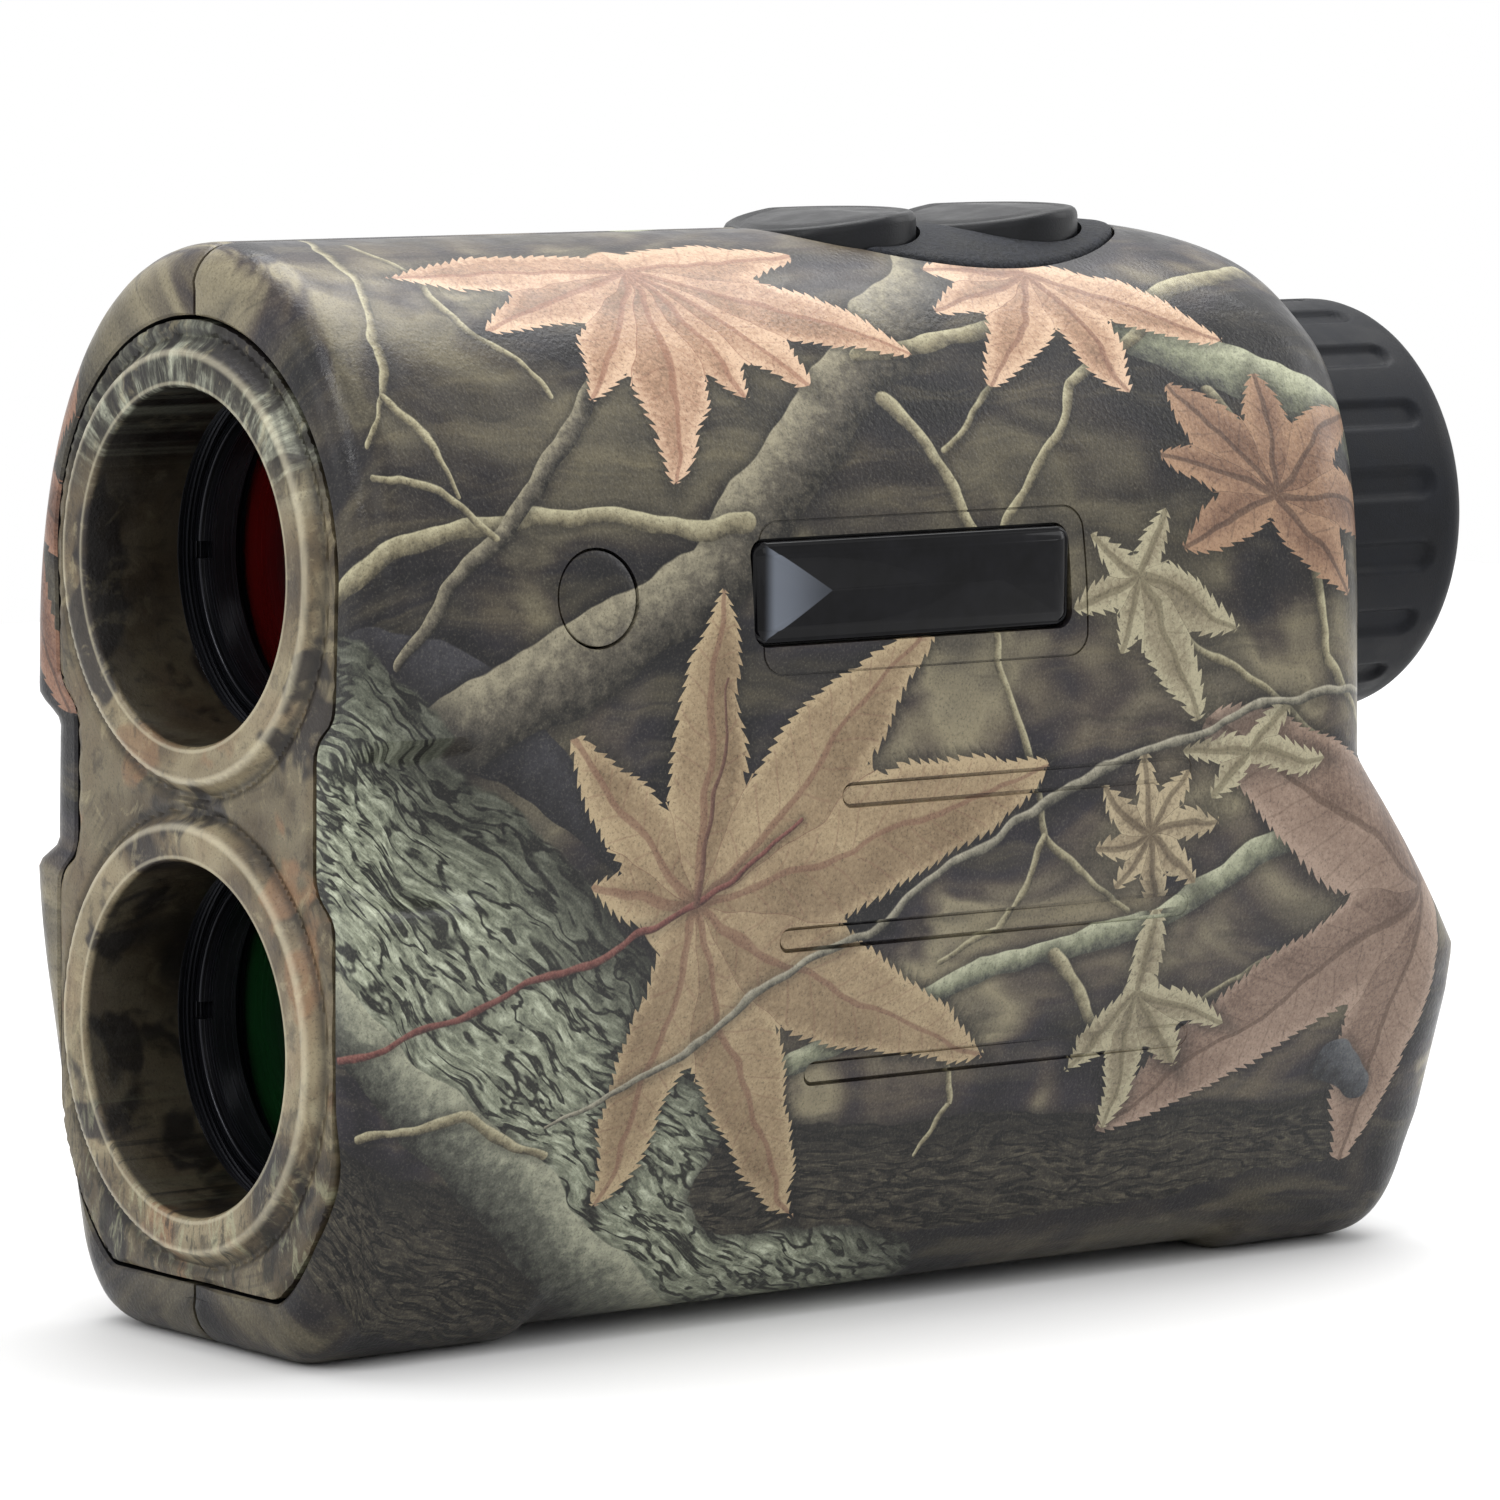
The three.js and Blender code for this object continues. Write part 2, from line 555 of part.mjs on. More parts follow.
// ---------------------------------------------------------------- battery bay
const batteryTube = () => toGeometry(cut(
  toSolid(disc(CAP_RADIUS, 13.4, 43.8, BATTERY_Z)),
  disc(BATTERY_RADIUS + GAP, 14.8, 60, BATTERY_Z),
));
const battery = () => turned([
  [0, 17], [BATTERY_RADIUS - 0.4, 17], [BATTERY_RADIUS, 17.4], [BATTERY_RADIUS, 16.6 + BATTERY_LENGTH],
  [BATTERY_RADIUS - 0.4, 17 + BATTERY_LENGTH - 0.4], [3.2, 16.6 + BATTERY_LENGTH], [3.2, 17 + BATTERY_LENGTH],
  [0, 17 + BATTERY_LENGTH],
], BATTERY_Z);

// The spring at the far end of the battery: a wire wound into a cone.
function contactSpring() {
  const turns = 2;
  const steps = 20;
  const points = [];
  for (let i = 0; i <= steps; i += 1) {
    const a = turns * 2 * Math.PI * i / steps;
    const r = mix(5, 2.6, i / steps);
    points.push(new THREE.Vector3(r * Math.cos(a), 15.2 + 1.4 * i / steps, BATTERY_Z + r * Math.sin(a)));
  }
  const wire = new THREE.Shape();
  wire.absarc(0, 0, 0.3, 0, 2 * Math.PI, false);
  return new THREE.ExtrudeGeometry(wire, {
    steps: 24, curveSegments: 2, bevelEnabled: false, extrudePath: new THREE.CatmullRomCurve3(points),
  });
}

// The cap: a coin slot outside, a groove for its seal, and two bayonet lugs.
function batteryCap() {
  const body = toSolid(turned([
    [0, 44.7], [8.6, 44.7], [8.6, 45.4], [7.9, 45.4], [7.9, 46.9], [CAP_RADIUS - 0.2, 46.9],
    [CAP_RADIUS, 47.2], [CAP_RADIUS, CAP_FACE_Y - 0.5], [CAP_RADIUS - 0.5, CAP_FACE_Y], [0, CAP_FACE_Y],
  ], BATTERY_Z));
  const slot = box(-7, 7, CAP_FACE_Y - 1.4, 60, BATTERY_Z - 0.8, BATTERY_Z + 0.8);
  return toGeometry(cut(body, slot));
}

const capSeal = () => {
  const ringShape = [];
  for (let i = 0; i < 6; i += 1) {
    const a = 2 * Math.PI * i / 6;
    ringShape.push([8.75 + 0.7 * Math.cos(a), 46.15 + 0.68 * Math.sin(a)]);
  }
  return turned(ringShape, BATTERY_Z);
};
const capContact = () => disc(4.5, 44.3, 44.6, BATTERY_Z, 20);

// ---------------------------------------------------------------- materials and assembly
const finish = (color, roughness, metalness = 0) =>
  new THREE.MeshStandardMaterial({ color, roughness, metalness });
const camouflage = finish(0x6f6450, 0.5);
const blackPlastic = finish(0x121214, 0.45);
const glossPlastic = finish(0x060607, 0.12);
const blackMetal = finish(0x0c0c0e, 0.3, 0.6);
const rubber = finish(0x26282b, 0.75);
const keyRubber = finish(0x1c1e22, 0.6);
const redGlass = finish(0x5a0d0c, 0.05);
const greenGlass = finish(0x0c3a22, 0.05);
const clearGlass = finish(0xc8d4d2, 0.05);
const circuitBoard = finish(0x1f5c38, 0.5);
const chipPlastic = finish(0x1a1a1c, 0.5);
const steel = finish(0x9a9ca0, 0.35, 0.9);
const batterySleeve = finish(0x2c3c6a, 0.4);

const group = new THREE.Group();
const add = (parent, name, geometry, material) => {
  const mesh = new THREE.Mesh(tidy(geometry), material);
  mesh.name = name;
  parent.add(mesh);
};

const caseGroup = new THREE.Group();
add(caseGroup, 'right_shell', shell(1), camouflage);
add(caseGroup, 'left_shell', shell(-1), camouflage);
add(caseGroup, 'front_bezel', frontBezel(), camouflage);
add(caseGroup, 'badge_plate', badgePlate(), glossPlastic);
add(caseGroup, 'side_plug', sidePlug(), camouflage);
SCREWS.forEach((place, i) => add(caseGroup, `case_screw_${i + 1}`, caseScrew(place), steel));

const keypadGroup = new THREE.Group();
add(keypadGroup, 'keypad_pad', keypadPad(), keyRubber);
add(keypadGroup, 'measure_button', keyCap(MEASURE_KEY_Y), keyRubber);
add(keypadGroup, 'mode_button', keyCap(MODE_KEY_Y), keyRubber);
add(keypadGroup, 'keypad_board', keypadBoard(), circuitBoard);
add(keypadGroup, 'measure_switch', tactSwitch(MEASURE_KEY_Y), steel);
add(keypadGroup, 'mode_switch', tactSwitch(MODE_KEY_Y), steel);

const opticsGroup = new THREE.Group();
add(opticsGroup, 'objective_cell', lensCell(UPPER_Z), blackMetal);
add(opticsGroup, 'objective_ring', retainingRing(UPPER_Z), blackMetal);
add(opticsGroup, 'objective_lens', lens(12.1, -38, -35.4, 1.3, 0.4, UPPER_Z), redGlass);
add(opticsGroup, 'receiver_cell', lensCell(LOWER_Z), blackMetal);
add(opticsGroup, 'receiver_ring', retainingRing(LOWER_Z), blackMetal);
add(opticsGroup, 'receiver_lens', lens(12.1, -38, -35.4, 1.3, 0.4, LOWER_Z), greenGlass);
add(opticsGroup, 'receiver_hood', receiverHood(), blackPlastic);
add(opticsGroup, 'prism_frame', prismFrame(), blackPlastic);
add(opticsGroup, 'half_prism', halfPrism(), clearGlass);
add(opticsGroup, 'roof_prism', roofPrism(), clearGlass);
add(opticsGroup, 'laser_holder', laserHolder(), blackMetal);
add(opticsGroup, 'laser_diode', laserDiode(), steel);
add(opticsGroup, 'display_panel', displayPanel(), clearGlass);
add(opticsGroup, 'display_frame', displayFrame(), blackPlastic);

const eyepieceGroup = new THREE.Group();
add(eyepieceGroup, 'eyepiece_barrel', eyepieceBarrel(), blackMetal);
add(eyepieceGroup, 'diopter_ring', diopterRing(), blackPlastic);
add(eyepieceGroup, 'eyecup', eyecup(), rubber);
add(eyepieceGroup, 'eyepiece_cell', eyepieceCell(), blackMetal);
add(eyepieceGroup, 'field_lens', lens(9.7, 27.2, 29.4, 0.9, 0.5, UPPER_Z), clearGlass);
add(eyepieceGroup, 'eye_lens', lens(9.7, 42.2, 43.9, 0.3, 1.2, UPPER_Z), clearGlass);
add(eyepieceGroup, 'eyepiece_ring', ring(8.4, 9.7, 44.2, 46.2, UPPER_Z), blackMetal);

const electronicsGroup = new THREE.Group();
add(electronicsGroup, 'sensor_board', sensorBoard(), circuitBoard);
add(electronicsGroup, 'light_sensor', sensorCan(), steel);
add(electronicsGroup, 'main_board', mainBoard(), circuitBoard);
add(electronicsGroup, 'processor_chip', processorChip(), chipPlastic);
add(electronicsGroup, 'step_up_transformer', transformer(), chipPlastic);
add(electronicsGroup, 'storage_capacitor', storageCapacitor(), batterySleeve);

const batteryGroup = new THREE.Group();
add(batteryGroup, 'battery_tube', batteryTube(), blackPlastic);
add(batteryGroup, 'battery_cell', battery(), batterySleeve);
add(batteryGroup, 'battery_spring', contactSpring(), steel);
add(batteryGroup, 'battery_cap', batteryCap(), blackPlastic);
add(batteryGroup, 'cap_seal', capSeal(), rubber);
add(batteryGroup, 'cap_contact', capContact(), steel);

group.add(caseGroup, keypadGroup, opticsGroup, eyepieceGroup, electronicsGroup, batteryGroup);

export default group;
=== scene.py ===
import math

import bmesh
import bpy
import numpy as np
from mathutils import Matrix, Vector
from mathutils.bvhtree import BVHTree


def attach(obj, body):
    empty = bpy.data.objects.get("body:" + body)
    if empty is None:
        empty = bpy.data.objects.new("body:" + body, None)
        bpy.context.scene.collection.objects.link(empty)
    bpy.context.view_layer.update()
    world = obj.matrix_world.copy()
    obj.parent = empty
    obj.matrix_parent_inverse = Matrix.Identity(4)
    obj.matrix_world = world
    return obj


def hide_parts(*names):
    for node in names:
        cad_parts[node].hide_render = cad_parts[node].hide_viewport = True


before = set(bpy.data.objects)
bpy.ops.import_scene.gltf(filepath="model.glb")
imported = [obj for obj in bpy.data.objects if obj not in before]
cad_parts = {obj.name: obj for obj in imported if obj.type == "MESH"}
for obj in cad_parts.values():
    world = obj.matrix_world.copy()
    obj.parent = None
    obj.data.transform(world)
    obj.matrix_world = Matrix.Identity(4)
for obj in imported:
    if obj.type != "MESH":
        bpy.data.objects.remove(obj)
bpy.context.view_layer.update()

MM = 0.001

# ---- dimensions, in millimetres
HALF_WIDTH, HIP, CREST_Z, SHOULDER_Z = 20.9, 0.3, 74.4, 45.4
ROUND_POWER, BELLY_Z, BELLY_RADIUS, FOOT_DROP = 2.2, 0.9, 7.0, 0.9
HIP_Z, LEAN = 28.4, math.radians(14.2)
FRONT_Y, FRONT_RADIUS, WALL, PARTING = -50.3, 3.0, 2.0, 0.15
UPPER_Z, LOWER_Z, BORE = 52.8, 21.0, 12.0
TUBE_RADIUS, TUBE_END_Y, GAP = 13.6, -43.5, 0.3
EYECUP_START_Y, EYECUP_END_Y, EYECUP_RADIUS = 33.4, 51.3, 15.2
SLOT_COUNT, SLOT_DEPTH, SLOT_START_Y, SLOT_STOP_Y = 18, 0.45, 36.1, 46.8
BATTERY_Z, CAP_RADIUS, CAP_FACE_Y = 19.6, 9.6, 49.2
PAD_Y, PAD_HALF_WIDTH, PAD_FRONT, PAD_REAR = 12.5, 9.8, 16.6, 15.0
KEY_HALF_WIDTH, KEY_FRONT, KEY_REAR, KEY_TOP_Z = 7.1, 7.0, 6.2, 75.8
MEASURE_KEY_Y, MODE_KEY_Y = 3.0, 17.8
# screws as (y, z); ribs as (front, rear, height)
SCREWS = [(-36, 69.8), (-34.5, 36.9), (-38, 5.2), (30, 69.2), (27, 34.7), (34, 7.2)]
BADGE_Y, BADGE_Z, BADGE_FLOOR, BADGE_FACE = (-18.8, 8.6), (47.5, 54.4), 19.4, 21.1
PLUG_Y, PLUG_Z, PLUG_RADIUS = -31.9, 51.3, 3.2
RIBS = [(-11.4, 19.5, 36.9), (-16.4, 19.7, 27.3), (-12.5, 21.7, 17.6)]
RIB_HALF, RIB_DEPTH = 0.75, 0.3
PLATE_FACE_Y, PLATE_REAR_Y = -50.35, -47.3
LENS_RADIUS, LENS_FRONT_Y, LENS_REAR_Y = 12.1, -38, -35.4
EYE_LENS_RADIUS = 9.7
BADGE_MIDDLE = (sum(BADGE_Y) / 2, sum(BADGE_Z) / 2)
# the outline seen from the front: heights where the leaning side, the bend above it and the side end
LEAN_TOP_Z, BEND_TOP_Z = 22.9, 33.9
# the waist beside the two openings, and where the even middle of the case starts
WAIST_DEPTH, MIDDLE_START_Y = 2.7, -29.5
# the rims around the openings: radius of the crest and of the foot, and height
RIM_CREST, RIM_FOOT, RIM_HEIGHT = 14.3, 15.2, 0.95
# the rear face: how far back it reaches at each height
REAR_Z = [0, 9.4, 18.4, 21.9, 34.7, 36.4, 50.4, 62.4, 80]
REAR_Y = [46.7, 49.2, 49.8, 49.6, 39.8, 38.6, 38.6, 39.2, 39.2]


# ---- camera
def place_camera():
    """The photograph's view: azimuth, elevation, roll, distance and the point it looks at."""
    azimuth, elevation, roll = (math.radians(a) for a in (52.195, 6.172, 0.388))
    target = Vector((-28.30, 18.80, 33.77)) * MM
    back = Vector((math.sin(azimuth) * math.cos(elevation), -math.cos(azimuth) * math.cos(elevation),
                   math.sin(elevation)))
    right = Vector((math.cos(azimuth), math.sin(azimuth), 0))
    up = back.cross(right)
    camera = bpy.data.objects.new("camera", bpy.data.cameras.new("camera"))
    camera.data.lens = 197.92
    camera.data.sensor_width = 36
    camera.data.clip_start = 0.01
    rolled_right = math.cos(roll) * right + math.sin(roll) * up
    rolled_up = -math.sin(roll) * right + math.cos(roll) * up
    matrix = camera.matrix_world.to_3x3()
    matrix.col[0], matrix.col[1], matrix.col[2] = rolled_right, rolled_up, back
    camera.matrix_world = matrix.to_4x4()
    camera.location = target + 0.61655 * back
    bpy.context.scene.collection.objects.link(camera)
    bpy.context.scene.camera = camera


place_camera()


# ---- node arithmetic
def srgb(code):
    """Linear colour from a hex code."""
    levels = [int(code[i:i + 2], 16) / 255 for i in (0, 2, 4)]
    return tuple(c / 12.92 if c <= 0.04045 else ((c + 0.055) / 1.055) ** 2.4 for c in levels) + (1.0,)


class Value:
    """A number or vector in a node tree, so that patterns are written as arithmetic."""

    def __init__(self, tree, socket):
        self.tree, self.socket = tree, socket

    def __add__(self, other):
        return calc("ADD", self, other)

    def __sub__(self, other):
        return calc("SUBTRACT", self, other)

    def __rsub__(self, other):
        return calc("SUBTRACT", other, self)

    def __mul__(self, other):
        return calc("MULTIPLY", self, other)

    def __truediv__(self, other):
        return calc("DIVIDE", self, other)

    def __abs__(self):
        return calc("ABSOLUTE", self)


def tree_of(*values):
    return next(v.tree for v in values if isinstance(v, Value))


def feed(tree, socket, value):
    if isinstance(value, Value):
        tree.links.new(value.socket, socket)
    else:
        socket.default_value = value


def new_node(tree, kind, inputs, output=0, **settings):
    """Adds a node with those settings, feeds its inputs and returns one of its outputs."""
    node = tree.nodes.new("ShaderNode" + kind)
    for name, setting in settings.items():
        setattr(node, name, setting)
    for socket, value in inputs.items():
        feed(tree, node.inputs[socket], value)
    return Value(tree, node.outputs[output])


def calc(operation, *values, clamp=False):
    return new_node(tree_of(*values), "Math", dict(enumerate(values)), operation=operation, use_clamp=clamp)


def times_plus(a, b, c):
    return calc("MULTIPLY_ADD", a, b, c)


def length_of(x, y):
    return calc("SQRT", times_plus(x, x, y * y))


def vector(operation, *values):
    output = "Value" if operation in ("DOT_PRODUCT", "LENGTH") else "Vector"
    return new_node(tree_of(*values), "VectorMath", dict(enumerate(values)), output, operation=operation)


def parts(value):
    node = value.tree.nodes.new("ShaderNodeSeparateXYZ")
    feed(value.tree, node.inputs[0], value)
    return [Value(value.tree, s) for s in node.outputs]


def joined(*values):
    return new_node(tree_of(*values), "CombineXYZ", dict(enumerate(values)))


def smooth(value, low, high, bottom=0.0, top=1.0):
    """Smoothly from bottom at low to top at high."""
    if low > high:
        low, high, bottom, top = high, low, top, bottom
    inputs = {"Value": value, "From Min": low, "From Max": high, "To Min": bottom, "To Max": top}
    return new_node(value.tree, "MapRange", inputs, "Result", interpolation_type="SMOOTHSTEP")


def blend(factor, a, b):
    return new_node(tree_of(factor, a, b), "Mix", {"Factor": factor, 6: a, 7: b}, 2, data_type="RGBA")


def tint(colour, code, value, low, high, most=1.0, within=None):
    """Turns a colour towards another one as the value goes from low to high."""
    factor = smooth(value, low, high, 0.0, most)
    return blend(factor if within is None else factor * within, colour, srgb(code))


def noise(where, scale, detail, roughness, distortion=0.0, output="Fac"):
    inputs = {"Vector": where, "Scale": scale, "Detail": detail, "Roughness": roughness,
              "Distortion": distortion}
    return new_node(where.tree, "TexNoise", inputs, output)


def sway(where, scale, roughness):
    """A smooth random vector around zero."""
    return vector("SUBTRACT", noise(where, scale, 2, roughness, output="Color"), (0.5, 0.5, 0.5))


def toned(colour, gamma, saturation):
    """Deepens a colour and takes some of its saturation away."""
    deep = new_node(colour.tree, "Gamma", {0: colour, 1: gamma})
    return new_node(colour.tree, "HueSaturation", {"Saturation": saturation, "Color": deep})


def ramp(value, *stops):
    """A colour ramp whose stops are (place, hex code)."""
    node = value.tree.nodes.new("ShaderNodeValToRGB")
    elements = node.color_ramp.elements
    while len(elements) < len(stops):
        elements.new(0.5)
    for element, (place, code) in zip(elements, stops):
        element.position = place
        element.color = srgb(code)
    feed(value.tree, node.inputs[0], value)
    return Value(value.tree, node.outputs[0])


def curve(value, table):
    """Looks a number from 0 to 1 up in a list of evenly spaced results, each from 0 to 1."""
    node = value.tree.nodes.new("ShaderNodeFloatCurve")
    points = node.mapping.curves[0].points
    last = len(table) - 1
    for k in range(1, last):
        points.new(k / last, float(table[k]))
    for k, point in enumerate(points):
        point.location = (k / last, float(table[k]))
        point.handle_type = "VECTOR"
    node.mapping.update()
    feed(value.tree, node.inputs["Value"], value)
    return Value(value.tree, node.outputs[0])


def object_place(tree):
    """Where a point is in the frame, in millimetres."""
    place = new_node(tree, "TexCoord", {}, "Object")
    return new_node(tree, "VectorMath", {0: place, "Scale": 1000.0}, operation="SCALE")


def group_tree(name, inputs, outputs):
    """An empty node group, its inputs as values and the node its results go to."""
    tree = bpy.data.node_groups.new(name, "ShaderNodeTree")
    for side, sockets in (("INPUT", inputs), ("OUTPUT", outputs)):
        for title, kind in sockets.items():
            tree.interface.new_socket(title, in_out=side, socket_type="NodeSocket" + kind)
    start, end = tree.nodes.new("NodeGroupInput"), tree.nodes.new("NodeGroupOutput")
    return tree, [Value(tree, socket) for socket in list(start.outputs)[:len(inputs)]], end


def grouped(group, *values):
    """Uses a node group and returns its results."""
    tree = tree_of(*values)
    node = tree.nodes.new("ShaderNodeGroup")
    node.node_tree = group
    for socket, value in zip(node.inputs, values):
        feed(tree, socket, value)
    return [Value(tree, socket) for socket in node.outputs]


# ---- the printed pattern
LOBE_TABLE, TOOTH = 120, 0.45
# where the tiles of the film end, along the case and up it
U_CUTS, V_CUTS = (-32, -14, 4, 24), (12, 28, 44, 62)


def leaf_tables(lobes):
    """For each direction: the leaf's reach, and the angle from the nearest lobe's axis."""
    angles = np.linspace(-math.pi, math.pi, LOBE_TABLE + 1)
    reach_mm = max(length for _, length, _ in lobes)
    reach = np.zeros_like(angles)
    offset = np.full_like(angles, 9.0)
    distances = np.linspace(0.02, 1, 400)[:, None] * reach_mm
    for direction, length, width in lobes:
        delta = (angles - math.radians(direction) + math.pi) % (2 * math.pi) - math.pi
        along = distances * np.cos(delta) / length
        across = np.abs(distances * np.sin(delta))
        t = np.clip(along, 0, 1)
        half = width * 2.35 * (t + 0.1) ** 0.72 * (1 - t) ** 0.9
        inside = (across < half) & (along > 0) & (along < 1)
        furthest = np.where(inside.any(0), distances[:, 0][inside.shape[0] - 1 - inside[::-1].argmax(0)], 0)
        reach = np.maximum(reach, furthest)
        offset = np.where(np.abs(delta) < np.abs(offset), delta, offset)
    reach = np.maximum(reach, 0.13 * reach_mm)
    return reach / reach_mm, np.clip(offset, -1, 1) * 0.5 + 0.5, reach_mm


def paint_leaf(colour, where, grain, centre, lobes, tones, vein, shadow):
    """Paints a lobed leaf with a toothed edge, veins and a soft shadow under it."""
    reach, offset, reach_mm = leaf_tables(lobes)
    x, y, _ = parts(vector("SUBTRACT", where, (*centre, 0)))
    radius = length_of(x, y)
    turn = times_plus(calc("ARCTAN2", y, x), 1 / (2 * math.pi), 0.5)
    aside = times_plus(curve(turn, offset), 2.0, -1.0)
    teeth = calc("FRACT", radius * 1.15) - 0.5
    push = calc("SIGN", aside) * teeth * (TOOTH / (2 * math.pi)) / calc("MAXIMUM", radius, 1.5)
    edge = curve(turn + push, reach) * reach_mm - radius
    colour = tint(colour, "131115", edge, -3.0, 0.2, shadow)
    across = abs(aside) * radius
    rib_width = times_plus(radius, -0.16 / reach_mm, 0.24)
    main = smooth(across - rib_width, 0.16, 0.0)
    side = calc("PINGPONG", times_plus(across, -0.85, radius), 1.15)
    side = smooth(side, 0.16, 0.02) * smooth(edge, 0.2, 1.4) * 0.5
    half = times_plus(smooth(aside, -0.03, 0.03), 0.13, grain) - 0.06
    body = ramp(times_plus(smooth(edge, 3.5, 0.0), 0.2, half), *zip((0.28, 0.5, 0.72), tones))
    body = blend(calc("MAXIMUM", main, side) * 0.55, body, srgb(vein))
    return blend(smooth(edge, -0.04, 0.1), colour, body)


def segment_field(where, points, widths):
    """Distance from a bent branch over its half width, and the place across it from -1 to 1."""
    best, across = None, None
    for (a, b), (wa, wb) in zip(zip(points, points[1:]), zip(widths, widths[1:])):
        length = math.hypot(b[0] - a[0], b[1] - a[1])
        way = ((b[0] - a[0]) / length, (b[1] - a[1]) / length)
        relative = vector("SUBTRACT", where, (*a, 0))
        t = calc("DIVIDE", vector("DOT_PRODUCT", relative, (*way, 0)), length, clamp=True)
        spot = vector("MULTIPLY_ADD", joined(t, t), (-way[0] * length, -way[1] * length, 0), relative)
        half = times_plus(t, wb - wa, wa)
        distance = vector("LENGTH", spot) / half
        aside = vector("DOT_PRODUCT", relative, (-way[1], way[0], 0)) / half
        if way[0] < 0:
            aside = aside * -1.0
        if best is None:
            best, across = distance, aside
        else:
            nearer = calc("LESS_THAN", distance, best)
            best = calc("MINIMUM", distance, best)
            across = times_plus(nearer, aside - across, across)
    return best, across


def paint_branch(colour, where, spots, points, widths, tones, shadow):
    """Paints a branch that is light above and dark below, with a soft edge."""
    distance, across = segment_field(where, points, widths)
    widest = max(widths)
    soft = 0.08 / widest
    colour = tint(colour, "171518", distance, 1.0 + 1.1 / widest, 1.0, shadow)
    shade = times_plus(spots - 0.5, 0.9, times_plus(across, 0.36, 0.5))
    body = ramp(shade, *zip((0.12, 0.5, 0.88), tones))
    return blend(smooth(distance, 1.0 + soft, 1.0 - soft), colour, body)


def paint_bark(colour, where, grain, points, widths, way, tones, size):
    """A log of furrowed bark whose cracks run along way."""
    swayed = vector("MULTIPLY_ADD", sway(where, 0.75, 0.6), (0.7, 0.7, 0), where)
    distance, across = segment_field(swayed, points, widths)
    colour = tint(colour, "29262a", distance, 1.25, 1.0, 0.6)
    angle = math.atan2(way[1], way[0])
    along = vector("DOT_PRODUCT", where, (math.cos(angle), math.sin(angle), 0))
    aside = vector("DOT_PRODUCT", where, (-math.sin(angle), math.cos(angle), 0))
    fine = noise(joined(along * (0.5 / size), aside * (1.7 / size)), 1.0, 3, 0.65, 0.3)
    plates = noise(joined(along * (0.1 / size), aside * (0.42 / size)), 1.0, 3, 0.6, 0.35)
    crack = smooth(calc("PINGPONG", plates * 6.0, 0.5), 0.24, 0.08) * smooth(fine, 0.34, 0.46)
    body = ramp(fine, *zip((0.3, 0.5, 0.7), tones[1:]))
    body = blend(crack * 0.92, body, srgb(tones[0]))
    body = tint(body, "1b1a1a", across, 0.1, 1.0, 0.7)
    body = tint(body, tones[1], grain, 0.5, 0.7, 0.3)
    return blend(smooth(distance, 1.03, 0.98), colour, body)


# Layout of the right side, in millimetres along the case and up it. Strokes are points, half widths, the
# cracks' direction for bark, tones from dark to light, and shadow or grain size. Leaves are their centre,
# lobes as (direction, length, width), tones, the veins' colour and shadow.
TAN = ("7a6546", "95805e", "ab9873")
ORANGE = ("7c5f44", "a68363", "c2a485")
BROWN = ("6a5345", "8a7362", "9f8977")
PALE = ("6d6450", "8e846a", "a8a184")
BIRCH = ("27241f", "645e51", "989179")
SAGE = ("494b45", "858870", "b0b297")
TWIG = ("4c4636", "877f63", "b0aa8a")
BARK = ("131412", "5c6053", "8b907b", "b8bda7")
DARK_BARK = ("080708", "2a2723", "443f35", "645e4d")

